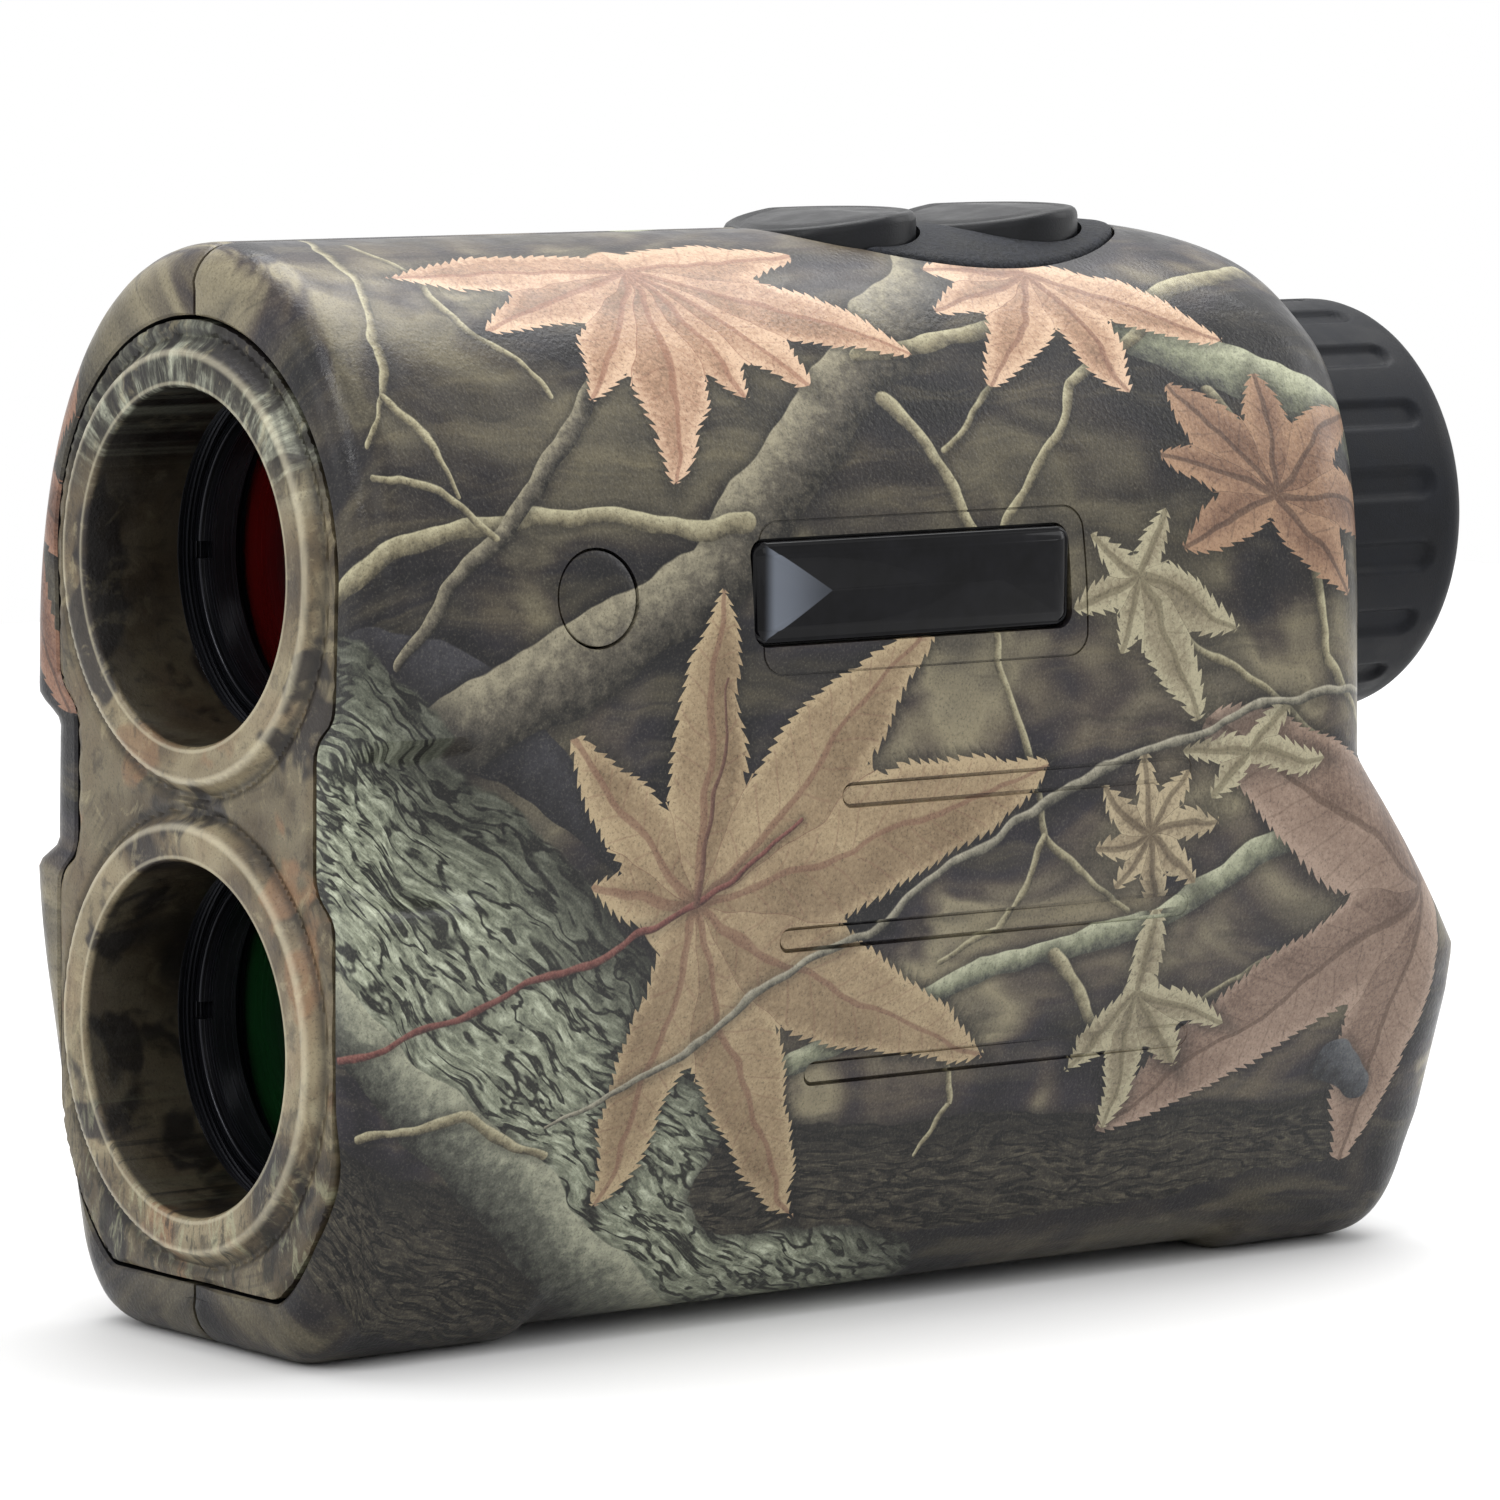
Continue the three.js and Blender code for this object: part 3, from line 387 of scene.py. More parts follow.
RIGHT = {
    "back": [
        (((-52, 49.5), (-40, 43.5), (-30, 33)), (2.6, 2.8, 0.6), ("232228", "37363c", "48474d"), 0.3),
        (((-48, 41.5), (-36, 46), (-22, 53), (-8, 67.5), (10, 86)), (2.6, 3.0, 2.8, 3.1, 3.0), BIRCH, 0.6),
    ],
    "bark": [
        (((-66, 51), (-50, 35.5), (-8, -6)), (10.0, 9.6, 9.0), (1.0, -0.86), BARK, 1.0),
        (((-16, 7.5), (2, 5.5), (37, 5.5)), (4.6, 5.2, 3.2), (1.0, -0.06), DARK_BARK, 0.8),
        (((-60, 8), (-44, 4), (-33, -6)), (6.0, 6.5, 4), (0.9, -0.45), DARK_BARK, 0.7),
    ],
    "branch": [
        (((-55, 25), (-41, 14), (-22, -8)), (2.4, 2.8, 3.6), ("2f302c", "686a5e", "a2a38d"), 0.3),
        (((4, 87), (19, 72), (42, 60)), (2.8, 2.6, 2.6), SAGE, 0.5),
        (((-54, 55.5), (-37, 57.8), (-19, 56.5)), (0.9, 0.7, 0.8), TWIG, 0.4),
        (((-48, 48.5), (-36, 60), (-24.5, 74.5)), (0.5, 0.75, 1.2), BIRCH, 0.4),
        (((-6, 70.5), (6, 73), (18, 74), (34, 80)), (0.8, 0.7, 0.9, 1.1), TWIG, 0.4),
        (((2, 52), (-1, 60), (-5, 66)), (0.35, 0.45, 0.6), TWIG, 0.3),
        (((3, 54), (12, 67), (20, 73)), (0.3, 0.45, 0.7), TWIG, 0.3),
        (((-1, 62), (4, 66.5), (11, 73)), (0.3, 0.3, 0.25), TWIG, 0.3),
        (((-50, 65), (-46.5, 69), (-44, 80), (-42, 92)), (0.4, 0.4, 0.35, 0.3), TWIG, 0.3),
        (((-46.5, 69), (-43.5, 65), (-42.6, 60)), (0.35, 0.3, 0.2), TWIG, 0.2),
        (((-50, 62), (-44, 60.5), (-40, 56.5)), (0.35, 0.35, 0.3), TWIG, 0.2),
        (((-40, 88), (-38, 76), (-33, 69)), (0.3, 0.35, 0.2), TWIG, 0.2),
        (((-52, 14), (-41, 16.5), (-34, 11)), (0.4, 0.5, 0.4), TWIG, 0.4),
        (((1, 52), (3, 44), (6, 33), (14, 27)), (0.25, 0.35, 0.35, 0.25), TWIG, 0.2),
        (((6, 33), (3, 27), (-2, 25)), (0.3, 0.25, 0.2), TWIG, 0.2),
        (((0, 17), (0.5, 12), (-2, 8)), (0.3, 0.3, 0.2), TWIG, 0.2),
        (((22, 19), (31, 23.5), (41, 24.5)), (0.25, 0.3, 0.25), TWIG, 0.2),
        (((14, 49), (22, 45), (36, 36)), (0.3, 0.35, 0.35), TWIG, 0.3),
        (((-14, 18), (2, 24), (16, 26), (34, 33)), (1.3, 1.0, 0.9, 1.2), SAGE, 0.5),
        (((8, 24.5), (14, 17), (17, 11)), (0.5, 0.4, 0.3), TWIG, 0.4),
        (((24, 66), (30, 55), (33, 44), (41, 36)), (0.5, 0.4, 0.4, 0.3), TWIG, 0.4),
    ],
    "leaf": [
        ((43, 27), ((148, 27, 5.4), (213, 35, 4.6), (262, 26, 5.5), (95, 16, 5)), BROWN, "5a4230", 0.55),
        ((28, 57), ((128, 13, 2.8), (85, 11, 2.6), (40, 12, 2.8), (-8, 13, 3), (-50, 11, 2.6), (205, 10, 2.4),
                    (160, 11, 2.4)), ("694b36", "8a694e", "a07f5e"), "43302a", 0.5),
        ((13, 79), ((235, 15, 2.8), (285, 14, 2.6), (-30, 16, 3), (170, 9, 2.4), (200, 11, 2.6)),
         ORANGE, "7a4c34", 0.5),
        ((16, 32.5), ((95, 6, 1.2), (50, 6, 1.3), (5, 6.4, 1.3), (-45, 6, 1.2), (-85, 7, 1.3), (140, 6, 1.2),
                      (190, 5, 1.2), (230, 5, 1.2)), ("70624a", "8f8064", "aa9c7c"), "54442f", 0.5),
        ((15, 51), ((200, 7, 1.4), (250, 6, 1.5), (-62, 12, 2.4), (-25, 10, 2.0), (150, 5, 1.2),
                    (60, 6, 1.3)), PALE, "6b6248", 0.4),
        ((17, 21), ((262, 13, 2.2), (225, 9, 1.6), (300, 9, 1.8), (-28, 9, 1.6), (95, 7, 1.6)),
         PALE, "6d6449", 0.5),
        ((25, 38), ((175, 6, 1.2), (-10, 8, 1.4), (225, 5, 1.1), (40, 5, 1.1)), PALE, "6d6449", 0.4),
        ((-21, 82), ((262, 23, 3.4), (240, 17, 2.8), (305, 18, 3.4), (330, 23, 3.6), (205, 17, 3.0),
                     (5, 15, 3.2), (180, 20, 3), (285, 16, 2.6)), ORANGE, "8a5636", 0.55),
        ((-24, 30), ((84, 22.5, 3.3), (42, 28.5, 4.4), (14, 33, 4.8), (-27, 31, 4.6), (-66, 30, 4.0),
                     (-101, 25, 3.2), (131, 17, 3.0), (168, 9.5, 2.0)), TAN, "7a4f3a", 0.6),
    ],
    "stem": [
        (((-54, 21), (-42, 24.5), (-24, 30), (-15, 36)), (0.3, 0.26, 0.26, 0.15),
         ("4a2620", "743c31", "8d5a4c"), 0.3),
        (((36.8, 12.4), (39.2, 9.8)), (2.0, 1.9), ("2c2e33", "4d5056", "6a6d70"), 0.3),
        (((-24, 30), (-21, 45)), (0.24, 0.1), ("5b3b2d", "6b4939", "7d5c49"), 0),
        (((-34, 14.5), (-26, 17.5), (-17, 24.5), (-8, 28), (4, 34), (12, 37.4), (26, 41), (40, 43)),
         (0.2, 0.3, 0.32, 0.3, 0.34, 0.34, 0.3, 0.3), ("46443d", "827e6e", "a9a491"), 0.3),
    ],
    "ground": (0.0, 0.0),
}
PAINTS = {"back": paint_branch, "bark": paint_bark, "branch": paint_branch, "leaf": paint_leaf,
          "stem": paint_branch}


def mirrored(layout, shift, turn, pivot=40):
    """The same kinds of things in other places, for the other side of the case."""
    c, s = math.cos(math.radians(turn)), math.sin(math.radians(turn))

    def to(p):
        x, y = -p[0], p[1] - pivot
        return (c * x - s * y + shift[0], s * x + c * y + pivot + shift[1])

    out = {"ground": shift}
    for kind in ("back", "bark", "branch", "stem"):
        out[kind] = [([to(p) for p in points], *rest) for points, *rest in layout[kind]]
    out["bark"] = [(points, widths, (-way[0], way[1]), *rest)
                   for points, widths, way, *rest in out["bark"]]
    out["leaf"] = [(to(centre), [(180 - a + turn, *size) for a, *size in lobes], *rest)
                   for centre, lobes, *rest in layout["leaf"]]
    return out


def ground_group(name, shift):
    """Node group of the ground behind the plants, with the values that the layers over it use."""
    tree, (place,), end = group_tree(name, {"Place": "Vector"}, {"Color": "Color", "Bent": "Vector",
                                                                 "Grain": "Float", "Speckle": "Float"})
    shifted = vector("ADD", place, (shift[0] * 3 + 200, shift[1] * 3 + 100, 7))
    bent = vector("MULTIPLY_ADD", sway(shifted, 0.13, 0.5), (3.2, 3.2, 0), place)
    wide = noise(vector("MULTIPLY", shifted, (0.8, 1.1, 1)), 0.065, 3, 0.5, 0.7)
    colour = ramp(wide, (0.38, "1d1b23"), (0.45, "35303a"), (0.5, "544a43"), (0.58, "8f866b"),
                  (0.7, "6b6454"))
    up = parts(bent)[1]
    streak = noise(vector("MULTIPLY", bent, (0.05, 0.3, 1)), 1.0, 3, 0.6, 0.8)
    # the ground darkens in a band below the top, and towards the underside as painted shade; then light and
    # dark streaks
    for layer in (("1b191a", up, 38, 56, 0.6, smooth(up, 82, 70)), ("1b191a", up, 12, 1, 0.6),
                  ("857b5c", streak, 0.45, 0.72, 0.35), ("18161b", streak, 0.46, 0.3, 0.4)):
        colour = tint(colour, *layer)
    grain = times_plus(noise(shifted, 2.6, 3, 0.65), 0.45, noise(shifted, 0.16, 3, 0.55) * 0.55)
    for socket, result in zip(end.inputs, (colour, bent, grain, noise(shifted, 1.1, 4, 0.7))):
        feed(tree, socket, result)
    return tree


def layer_group(kind, shape):
    """Node group that paints one thing over the colour it is given."""
    tree, given, end = group_tree(kind, {"Below": "Color", "Place": "Vector", "Grain": "Float"},
                                  {"Color": "Color"})
    feed(tree, end.inputs[0], PAINTS[kind](*given, *shape))
    return tree


def reaches(kind, shape, column, row, margin=4.5):
    """Whether a painted thing comes near one tile of the film."""
    strokes = []
    if kind == "leaf":
        (x, y), lobes = shape[:2]
        for direction, length, width in lobes:
            a = math.radians(direction)
            strokes.append(((x, y), (x + length * math.cos(a), y + length * math.sin(a)), width))
    else:
        points, widths = shape[:2]
        strokes = [(a, b, max(widths)) for a, b in zip(points, points[1:])]
    t = np.linspace(0, 1, 24)
    for a, b, half in strokes:
        near = half + margin
        inside = True
        for axis, cuts, index in ((0, U_CUTS, column), (1, V_CUTS, row)):
            low, high = ((-999, *cuts)[index], (*cuts, 999)[index])
            at = a[axis] + (b[axis] - a[axis]) * t
            inside = inside & (at > low - near) & (at < high + near)
        if inside.any():
            return True
    return False


# where the film rolls over, from and to, and how far it moves for each millimetre the case turns in
ROLLS_UP = ((28, 50, 0.8), (28, 8, -0.8))
ROLLS_ALONG = ((-46, -50, 0.9), (38, 46, -0.9))
FILM_SIDE_X = 21.0


def film_place(where):
    """Unwraps the case: along it, and up it with the top and the underside rolled flat."""
    x, y, z = parts(where)
    inward = FILM_SIDE_X - abs(x)
    over, under = (smooth(z, low, high, 0.0, amount) for low, high, amount in ROLLS_UP)
    ahead, behind = (smooth(y, low, high, 0.0, amount) for low, high, amount in ROLLS_ALONG)
    return joined(y - inward * (ahead + behind), times_plus(inward, over + under, z))


def film_tile(points):
    """Column and row of the tile that each point of the case lies on."""
    x, y, z = points.T
    inward = FILM_SIDE_X - np.abs(x)
    over = sum(amount * step_ramp(low, high, z) for low, high, amount in ROLLS_UP)
    ahead = sum(amount * step_ramp(low, high, y) for low, high, amount in ROLLS_ALONG)
    return np.digitize(y - inward * ahead, U_CUTS), np.digitize(z + inward * over, V_CUTS)


# ---- materials
def shader(name, **settings):
    """A material with a Principled shader and those socket values; also the place in millimetres."""
    material = bpy.data.materials.new(name)
    material.use_nodes = True
    bsdf = material.node_tree.nodes["Principled BSDF"]
    for socket, value in settings.items():
        bsdf.inputs[socket.replace("_", " ")].default_value = value
    return material, object_place(material.node_tree)


def finished(material, colour, roughness, relief=None, depth=0.0):
    """Sets the colour, the roughness and a relief that is depth millimetres high where it is 1."""
    tree = material.node_tree
    inputs = tree.nodes["Principled BSDF"].inputs
    feed(tree, inputs["Base Color"], colour)
    feed(tree, inputs["Roughness"], roughness)
    if relief is not None:
        bump = new_node(tree, "Bump", {"Strength": 1.0, "Distance": depth * MM, "Height": relief})
        feed(tree, inputs["Normal"], bump)
    return material


def worn(tone, low, high, start=0.3, end=0.7):
    """Roughness from low to high as the tone changes."""
    return smooth(tone, start, end, low, high)


def film_material(name, ground, layers):
    """The printed film over one tile of the case."""
    material, where = shader(name, Specular_IOR_Level=0.3)
    colour, bent, grain, speckle = grouped(ground, film_place(where))
    for kind, group in layers:
        # each layer's place waits for the layer below, so that the shader never holds them all at once
        held = vector("MULTIPLY_ADD", colour, (1e-6, 1e-6, 0), bent)
        colour, = grouped(group, colour, held, grain if kind in ("bark", "leaf") else speckle)
    dots = noise(where, 5.5, 2, 0.7)
    colour = tint(colour, "1c181a", dots, 0.5, 0.78, 0.45)
    colour = tint(colour, "c9c3aa", dots, 0.5, 0.25, 0.1)
    return finished(material, toned(colour, 1.3, 0.8), worn(noise(where, 0.5, 2, 0.6), 0.28, 0.4),
                    noise(where, 3.2, 1, 0.6), 0.03)


def camouflage(name, layout):
    """Materials of one side's film by tile, each with only the things painted near its tile."""
    ground = ground_group(name + "_ground", layout["ground"])
    layers = [(kind, shape, layer_group(kind, shape)) for kind in PAINTS for shape in layout[kind]]
    tiles = {}
    for column in range(len(U_CUTS) + 1):
        for row in range(len(V_CUTS) + 1):
            near = [(kind, group) for kind, shape, group in layers if reaches(kind, shape, column, row)]
            tiles[column, row] = film_material(f"{name}_{column}_{row}", ground, near)
    return tiles


def bezel_film():
    """The same film on the front plate, pulled into streaks around the lens openings."""
    material, where = shader("bezel_film", Specular_IOR_Level=0.3)
    x, y, z = parts(where)
    lower = calc("LESS_THAN", z, (UPPER_Z + LOWER_Z) / 2 + 0.1)
    up, low = z - UPPER_Z, z - LOWER_Z
    v = times_plus(lower, low - up, up)
    radius = length_of(x, v)
    angle = calc("ARCTAN2", v, x)
    colour = ramp(noise(where, 0.09, 3, 0.5, 0.5), (0.34, "443c36"), (0.46, "77694f"), (0.56, "978c70"),
                  (0.68, "8d7b5f"), (0.8, "5a5848"))
    # bark whose streaks run across the upper rim
    streak = noise(joined(angle * 9.0, radius * 0.16, lower), 1.0, 4, 0.7, 0.5)
    bark = ramp(streak, (0.4, "141313"), (0.48, "45463d"), (0.56, "85887a"), (0.68, "b3b6a4"))
    colour = blend(smooth(z, 56, 62) * 0.9, colour, bark)
    patch = noise(vector("ADD", where, (40, 0, 13)), 0.12, 3, 0.6, 0.3)
    lines = calc("SINE", times_plus(radius, 9.0, calc("SINE", angle * 3.0) * 9.0))
    moire = smooth(noise(where, 0.15, 2, 0.5), 0.45, 0.6) * smooth(radius, 12.5, 15)
    side = noise(joined(x * 0.9, z * 0.22, 3.0), 1.0, 4, 0.66, 1.1)
    mottle = noise(joined(x * 0.55, z * 0.4, y * 0.3), 1.0, 4, 0.68, 0.6)
    front = smooth(y, -50.0, -50.2)
    for layer in (("2b2823", radius, 15.0, 15.9, 0.35),
                  ("312c2e", patch, 0.56, 0.62, 0.85),
                  ("8f6f4c", patch, 0.42, 0.36, 0.8, smooth(z, 50, 36)),
                  ("3c382f", lines, 0.2, 1.0, 0.3, moire),
                  ("a9ab8d", side, 0.53, 0.66, 0.5, smooth(z, 26, 8)),
                  ("35342a", side, 0.47, 0.36, 0.75, smooth(z, 30, 6)),
                  ("272320", mottle, 0.52, 0.68, 0.45),
                  ("b3a987", mottle, 0.46, 0.32, 0.35),
                  ("1c181a", noise(where, 5.5, 2, 0.7), 0.5, 0.78, 0.4),
                  # the rims: painted shade along the foot, painted highlights along the crest and the inner
                  # edge
                  ("1d1a17", abs(radius - 15.45), 0.65, 0.1, 0.6, front),
                  ("d3ccb4", abs(radius - 14.35), 0.4, 0.05, 0.4, front),
                  ("c4bda4", abs(radius - 12.3), 0.2, 0.04, 0.4, front)):
        colour = tint(colour, *layer)
    # inside the bores, painted shade darkens the film
    inside = smooth(radius, 12.15, 12.02) * smooth(y, -51.1, -50.6)
    colour = blend(inside * 0.78, colour, srgb("15110d"))
    return finished(material, toned(colour, 1.3, 0.85), worn(noise(where, 0.5, 3, 0.6), 0.34, 0.48),
                    noise(where, 3.2, 2, 0.6), 0.03)


def moulded(name, dark, light, roughness, grain_scale, grain_depth, shine):
    """Moulded plastic or rubber: a fine grain, slight mottling and rubbed patches."""
    material, where = shader(name, Specular_IOR_Level=shine)
    tone = noise(where, 0.35, 3, 0.6)
    fine = noise(where, grain_scale, 3, 0.65)
    colour = ramp(times_plus(fine, 0.5, tone * 0.5), (0.35, dark), (0.65, light))
    return finished(material, colour, worn(tone, roughness - 0.06, roughness + 0.08), fine, grain_depth)


def turned_metal(name, dark, light, roughness, centre_z, metallic):
    """Metal turned about the lens axis: fine rings left by the tool."""
    material, where = shader(name, Metallic=metallic)
    x, y, z = parts(where)
    rings = noise(joined(length_of(x, z - centre_z) * 6.0, y * 6.0), 1.0, 2, 0.7)
    return finished(material, ramp(rings, (0.3, dark), (0.7, light)),
                    worn(rings, roughness - 0.07, roughness + 0.1), rings, 0.015)


def brushed_steel(name, dark, light, roughness):
    """Metal brushed along the case."""
    material, where = shader(name, Metallic=1.0)
    lines = noise(vector("MULTIPLY", where, (1.2, 1.2, 14.0)), 1.0, 3, 0.7)
    return finished(material, ramp(lines, (0.3, dark), (0.7, light)),
                    worn(lines, roughness - 0.05, roughness + 0.12), lines, 0.01)


def circuit_board():
    """Green solder mask over copper tracks, with tinned pads."""
    material, where = shader("circuit_board", Coat_Weight=0.35, Coat_Roughness=0.15)
    tree = material.node_tree
    cells = new_node(tree, "TexVoronoi", {"Vector": where, "Scale": 0.45, "Randomness": 0.0}, "Distance",
                     feature="F1")
    tracks = smooth(calc("PINGPONG", noise(where, 0.16, 1, 0.4) * 30.0, 0.5), 0.2, 0.3)
    colour = tint(blend(tracks, srgb("123d25"), srgb("1f5c38")), "b9bcb4", cells, 0.42, 0.36)
    feed(tree, tree.nodes["Principled BSDF"].inputs["Metallic"], smooth(cells, 0.42, 0.36, 0.0, 0.8))
    return finished(material, colour, smooth(cells, 0.42, 0.36, 0.45, 0.3), tracks, 0.03)


def battery_sleeve():
    """Shrink sleeve with a silver band at one end and faint wrinkles."""
    material, where = shader("battery_sleeve", Coat_Weight=0.4, Coat_Roughness=0.12)
    colour = blend(calc("GREATER_THAN", parts(where)[1], 38.5), srgb("1d2c55"), srgb("a9adb3"))
    colour = tint(colour, "0f1526", noise(where, 1.4, 3, 0.6), 0.45, 0.7, 0.35)
    return finished(material, colour, worn(noise(where, 0.4, 2, 0.5), 0.25, 0.4),
                    noise(vector("MULTIPLY", where, (1, 0.2, 1)), 1.3, 2, 0.5), 0.03)


def coated_glass(name, tone, deep, centre_z):
    """A lens with a coloured coating: deep in the middle, with a painted reflection brighter towards its
    edge.
    """
    material, where = shader(name, Coat_Weight=0.5, Coat_Roughness=0.02, IOR=1.5)
    x, _, z = parts(where)
    # painted reflection: the coating's colour brightens towards the lens's edge
    colour = blend(smooth(length_of(x, z - centre_z), 3, 12), srgb(deep), srgb(tone))
    colour = tint(colour, deep, noise(where, 0.1, 2, 0.5), 0.4, 0.7, 0.4)
    return finished(material, colour, worn(noise(where, 0.6, 3, 0.6), 0.02, 0.07, 0.3, 0.8))


def clear_glass():
    material, where = shader("clear_glass", Transmission_Weight=0.85, IOR=1.52)
    return finished(material, blend(noise(where, 0.2, 2, 0.5), srgb("e6f0ee"), srgb("c9dcd8")),
                    worn(noise(where, 0.8, 3, 0.6), 0.01, 0.05, 0.3, 0.8))


def gloss_badge():
    """Black enamel under a clear domed coat."""
    material, where = shader("gloss_black", Coat_Weight=0.22, Coat_Roughness=0.03, Specular_IOR_Level=0.05)
    tone = noise(where, 0.5, 3, 0.6)
    _, y, z = parts(where)
    # a painted highlight where the scoop at the front end catches the light
    ahead = y - BADGE_Y[0]
    aside = abs(z - BADGE_MIDDLE[1])
    scoop_highlight = smooth(times_plus(aside, -1.62, 6.3) - ahead, 0.0, 0.12) * smooth(ahead, 0.8, 1.7)
    colour = ramp(tone, (0.3, "050506"), (0.7, "0d0d10"))
    colour = blend(scoop_highlight * smooth(ahead, 6.5, 1.5, 0.25, 0.9), colour, srgb("5d626b"))
    return finished(material, colour, worn(tone, 0.1, 0.18), noise(where, 0.6, 1, 0.5), 0.02)


def chip_plastic():
    material, where = shader("chip_plastic")
    fine = noise(where, 6.0, 3, 0.7)
    return finished(material, ramp(fine, (0.3, "141416"), (0.7, "222226")), worn(fine, 0.45, 0.62),
                    fine, 0.03)


LEFT = mirrored(RIGHT, (-5, 2), 5)
RUST_LOBES = ((80, 16, 3.4), (130, 17, 3.4), (180, 15, 3.2), (235, 17, 3.4), (-75, 14, 3.2), (20, 12, 3.2))
LEFT["leaf"].append(((-46, 58), RUST_LOBES, ("5e3f2b", "7d563c", "946b4d"), "3f291d", 0.5))
FILMS = {
    "right_film": camouflage("right_film", RIGHT),
    "left_film": camouflage("left_film", LEFT),
}
MATERIALS = {
    "bezel_film": bezel_film(),
    "gloss_black": gloss_badge(),
    "circuit_board": circuit_board(),
    "red_lens": coated_glass("red_lens", "480807", "140203", UPPER_Z),
    "green_lens": coated_glass("green_lens", "0d2e14", "051008", LOWER_Z),
    "clear_glass": clear_glass(),
    "chip_plastic": chip_plastic(),
    "battery_sleeve": battery_sleeve(),
}
for maker, name, *look in (
        (brushed_steel, "steel", "6f7276", "b4b7ba", 0.3),
        (brushed_steel, "gold_plate", "9a7a3a", "d8bd78", 0.25),
        (moulded, "pad_rubber", "060708", "25272d", 0.6, 2.9, 0.2, 0.16),
        (moulded, "key_rubber", "060709", "101115", 0.36, 7.0, 0.02, 0.2),
        (moulded, "eyecup_rubber", "0a0b0e", "16181d", 0.5, 8.0, 0.02, 0.13),
        (moulded, "black_plastic", "0a0a0b", "151517", 0.42, 5.0, 0.03, 0.3),
        (turned_metal, "upper_metal", "0a0a0c", "2a2b31", 0.22, UPPER_Z, 0.7),
        (turned_metal, "lower_metal", "0a0a0c", "2a2b31", 0.22, LOWER_Z, 0.7),
        (turned_metal, "black_metal", "0b0b0d", "202024", 0.35, UPPER_Z, 0.8)):
    MATERIALS[name] = maker(name, *look)


# ---- mesh helpers
def make_object(name, vertices, faces):
    """An object from points in millimetres."""
    mesh = bpy.data.meshes.new(name)
    mesh.from_pydata((np.asarray(vertices, float) * MM).tolist(), [], [list(map(int, f)) for f in faces])
    mesh.update()
    mesh.validate()
    obj = bpy.data.objects.new(name, mesh)
    bpy.context.scene.collection.objects.link(obj)
    return obj


def outwards(obj):
    """Turns every face outwards."""
    work = bmesh.new()
    work.from_mesh(obj.data)
    bmesh.ops.remove_doubles(work, verts=work.verts, dist=1e-6)
    bmesh.ops.recalc_face_normals(work, faces=work.faces)
    work.to_mesh(obj.data)
    work.free()
    return obj


def loft(name, rings, closed=False):
    """A solid through rings of points. Open ends get caps; closed joins the last ring to the first."""
    count, total = len(rings[0]), len(rings)
    faces = []
    for k in range(total if closed else total - 1):
        a, b = k * count, (k + 1) % total * count
        for i in range(count):
            j = (i + 1) % count
            faces.append((a + i, a + j, b + j, b + i))
    if not closed:
        faces.append(range(count - 1, -1, -1))
        faces.append(range((total - 1) * count, total * count))
    return outwards(make_object(name, np.concatenate(rings), faces))


def carve(target, tool, operation="DIFFERENCE"):
    """Cuts, joins or intersects with another solid, which is used up."""
    modifier = target.modifiers.new("carve", "BOOLEAN")
    modifier.operation = operation
    modifier.solver = "MANIFOLD"
    modifier.object = tool
    graph = bpy.context.evaluated_depsgraph_get()
    result = bpy.data.meshes.new_from_object(target.evaluated_get(graph), depsgraph=graph)
    target.modifiers.clear()
    old = target.data
    target.data = result
    bpy.data.meshes.remove(old)
    bpy.data.objects.remove(tool)
    return target


def lay_film(mesh, tiles):
    """Gives each face of the outer skin its tile's material; deeper faces are plain plastic."""
    centres = np.array([face.center[:] for face in mesh.polygons]) / MM
    depth = np.array([PROBE.find_nearest(Vector((abs(x), y, z)))[3] for x, y, z in centres])
    columns, rows = film_tile(centres)
    kinds = sorted(tiles)
    index = np.array([kinds.index((c, r)) for c, r in zip(columns, rows)])
    index[depth > 0.9] = len(kinds)
    used = sorted(set(index.tolist()))
    for k in used:
        mesh.materials.append(tiles[kinds[k]] if k < len(kinds) else MATERIALS["black_plastic"])
    mesh.polygons.foreach_set("material_index", np.searchsorted(used, index).astype(np.int32))


def piece(obj, node, material, body="case", crease=32, name=None):
    """Finishes a piece: shading, material, the body it rides on and the CAD node it stands for."""
    obj.name = obj.data.name = name or node + "_look"
    obj.data.materials.clear()
    if material in FILMS:
        lay_film(obj.data, FILMS[material])
    else:
        obj.data.materials.append(MATERIALS[material])
    obj.data.shade_smooth()
    obj.data.set_sharp_from_angle(angle=math.radians(crease))
    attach(obj, body)
    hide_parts(node)


def rounded(profile, radius, steps=3):
    """A closed outline of (r, y) corners with each corner rounded."""
    points = [np.array(p, float) for p in profile]
    out = []
    for k, p in enumerate(points):
        before, after = points[k - 1], points[(k + 1) % len(points)]
        la, lb = np.linalg.norm(before - p), np.linalg.norm(after - p)
        if p[0] == 0 or min(la, lb) < 1e-6:
            out.append(p)
            continue
        d = min(radius, 0.45 * la, 0.45 * lb)
        a, b = p + (before - p) / la * d, p + (after - p) / lb * d
        for i in range(steps + 1):
            t = i / steps
            out.append((1 - t) ** 2 * a + 2 * t * (1 - t) * p + t * t * b)
    return out


def circle(count):
    """Cosine and sine of evenly spaced directions."""
    angles = 2 * math.pi * np.arange(count) / count
    return np.cos(angles), np.sin(angles)


def lathe(name, profile, about, segments):
    """Turns an (r, along) outline about the line along Y at a height, or along X through (y, z)."""
    profile = [np.array(p, float) for p in profile]
    on_axis = profile[0][0] == 0 and profile[-1][0] == 0
    c, s = circle(segments)
    rings = []
    for r, along in profile:
        r = max(r, 1e-4) if on_axis else r
        flat = np.full(segments, along)
        sideways = isinstance(about, tuple)
        ring = [flat, about[0] + r * c, about[1] + r * s] if sideways else [r * c, flat, about + r * s]
        rings.append(np.stack(ring, 1))
    return loft(name, rings, closed=not on_axis)


def spindle(profile, about, segments):
    """A turned solid that ends on the axis, to cut or join with."""
    return lathe("tool", [(0, profile[0][1]), *profile, (0, profile[-1][1])], about, segments)


def rod(radius, start, end, about, segments=64):
    return spindle([(radius, start), (radius, end)], about, segments)


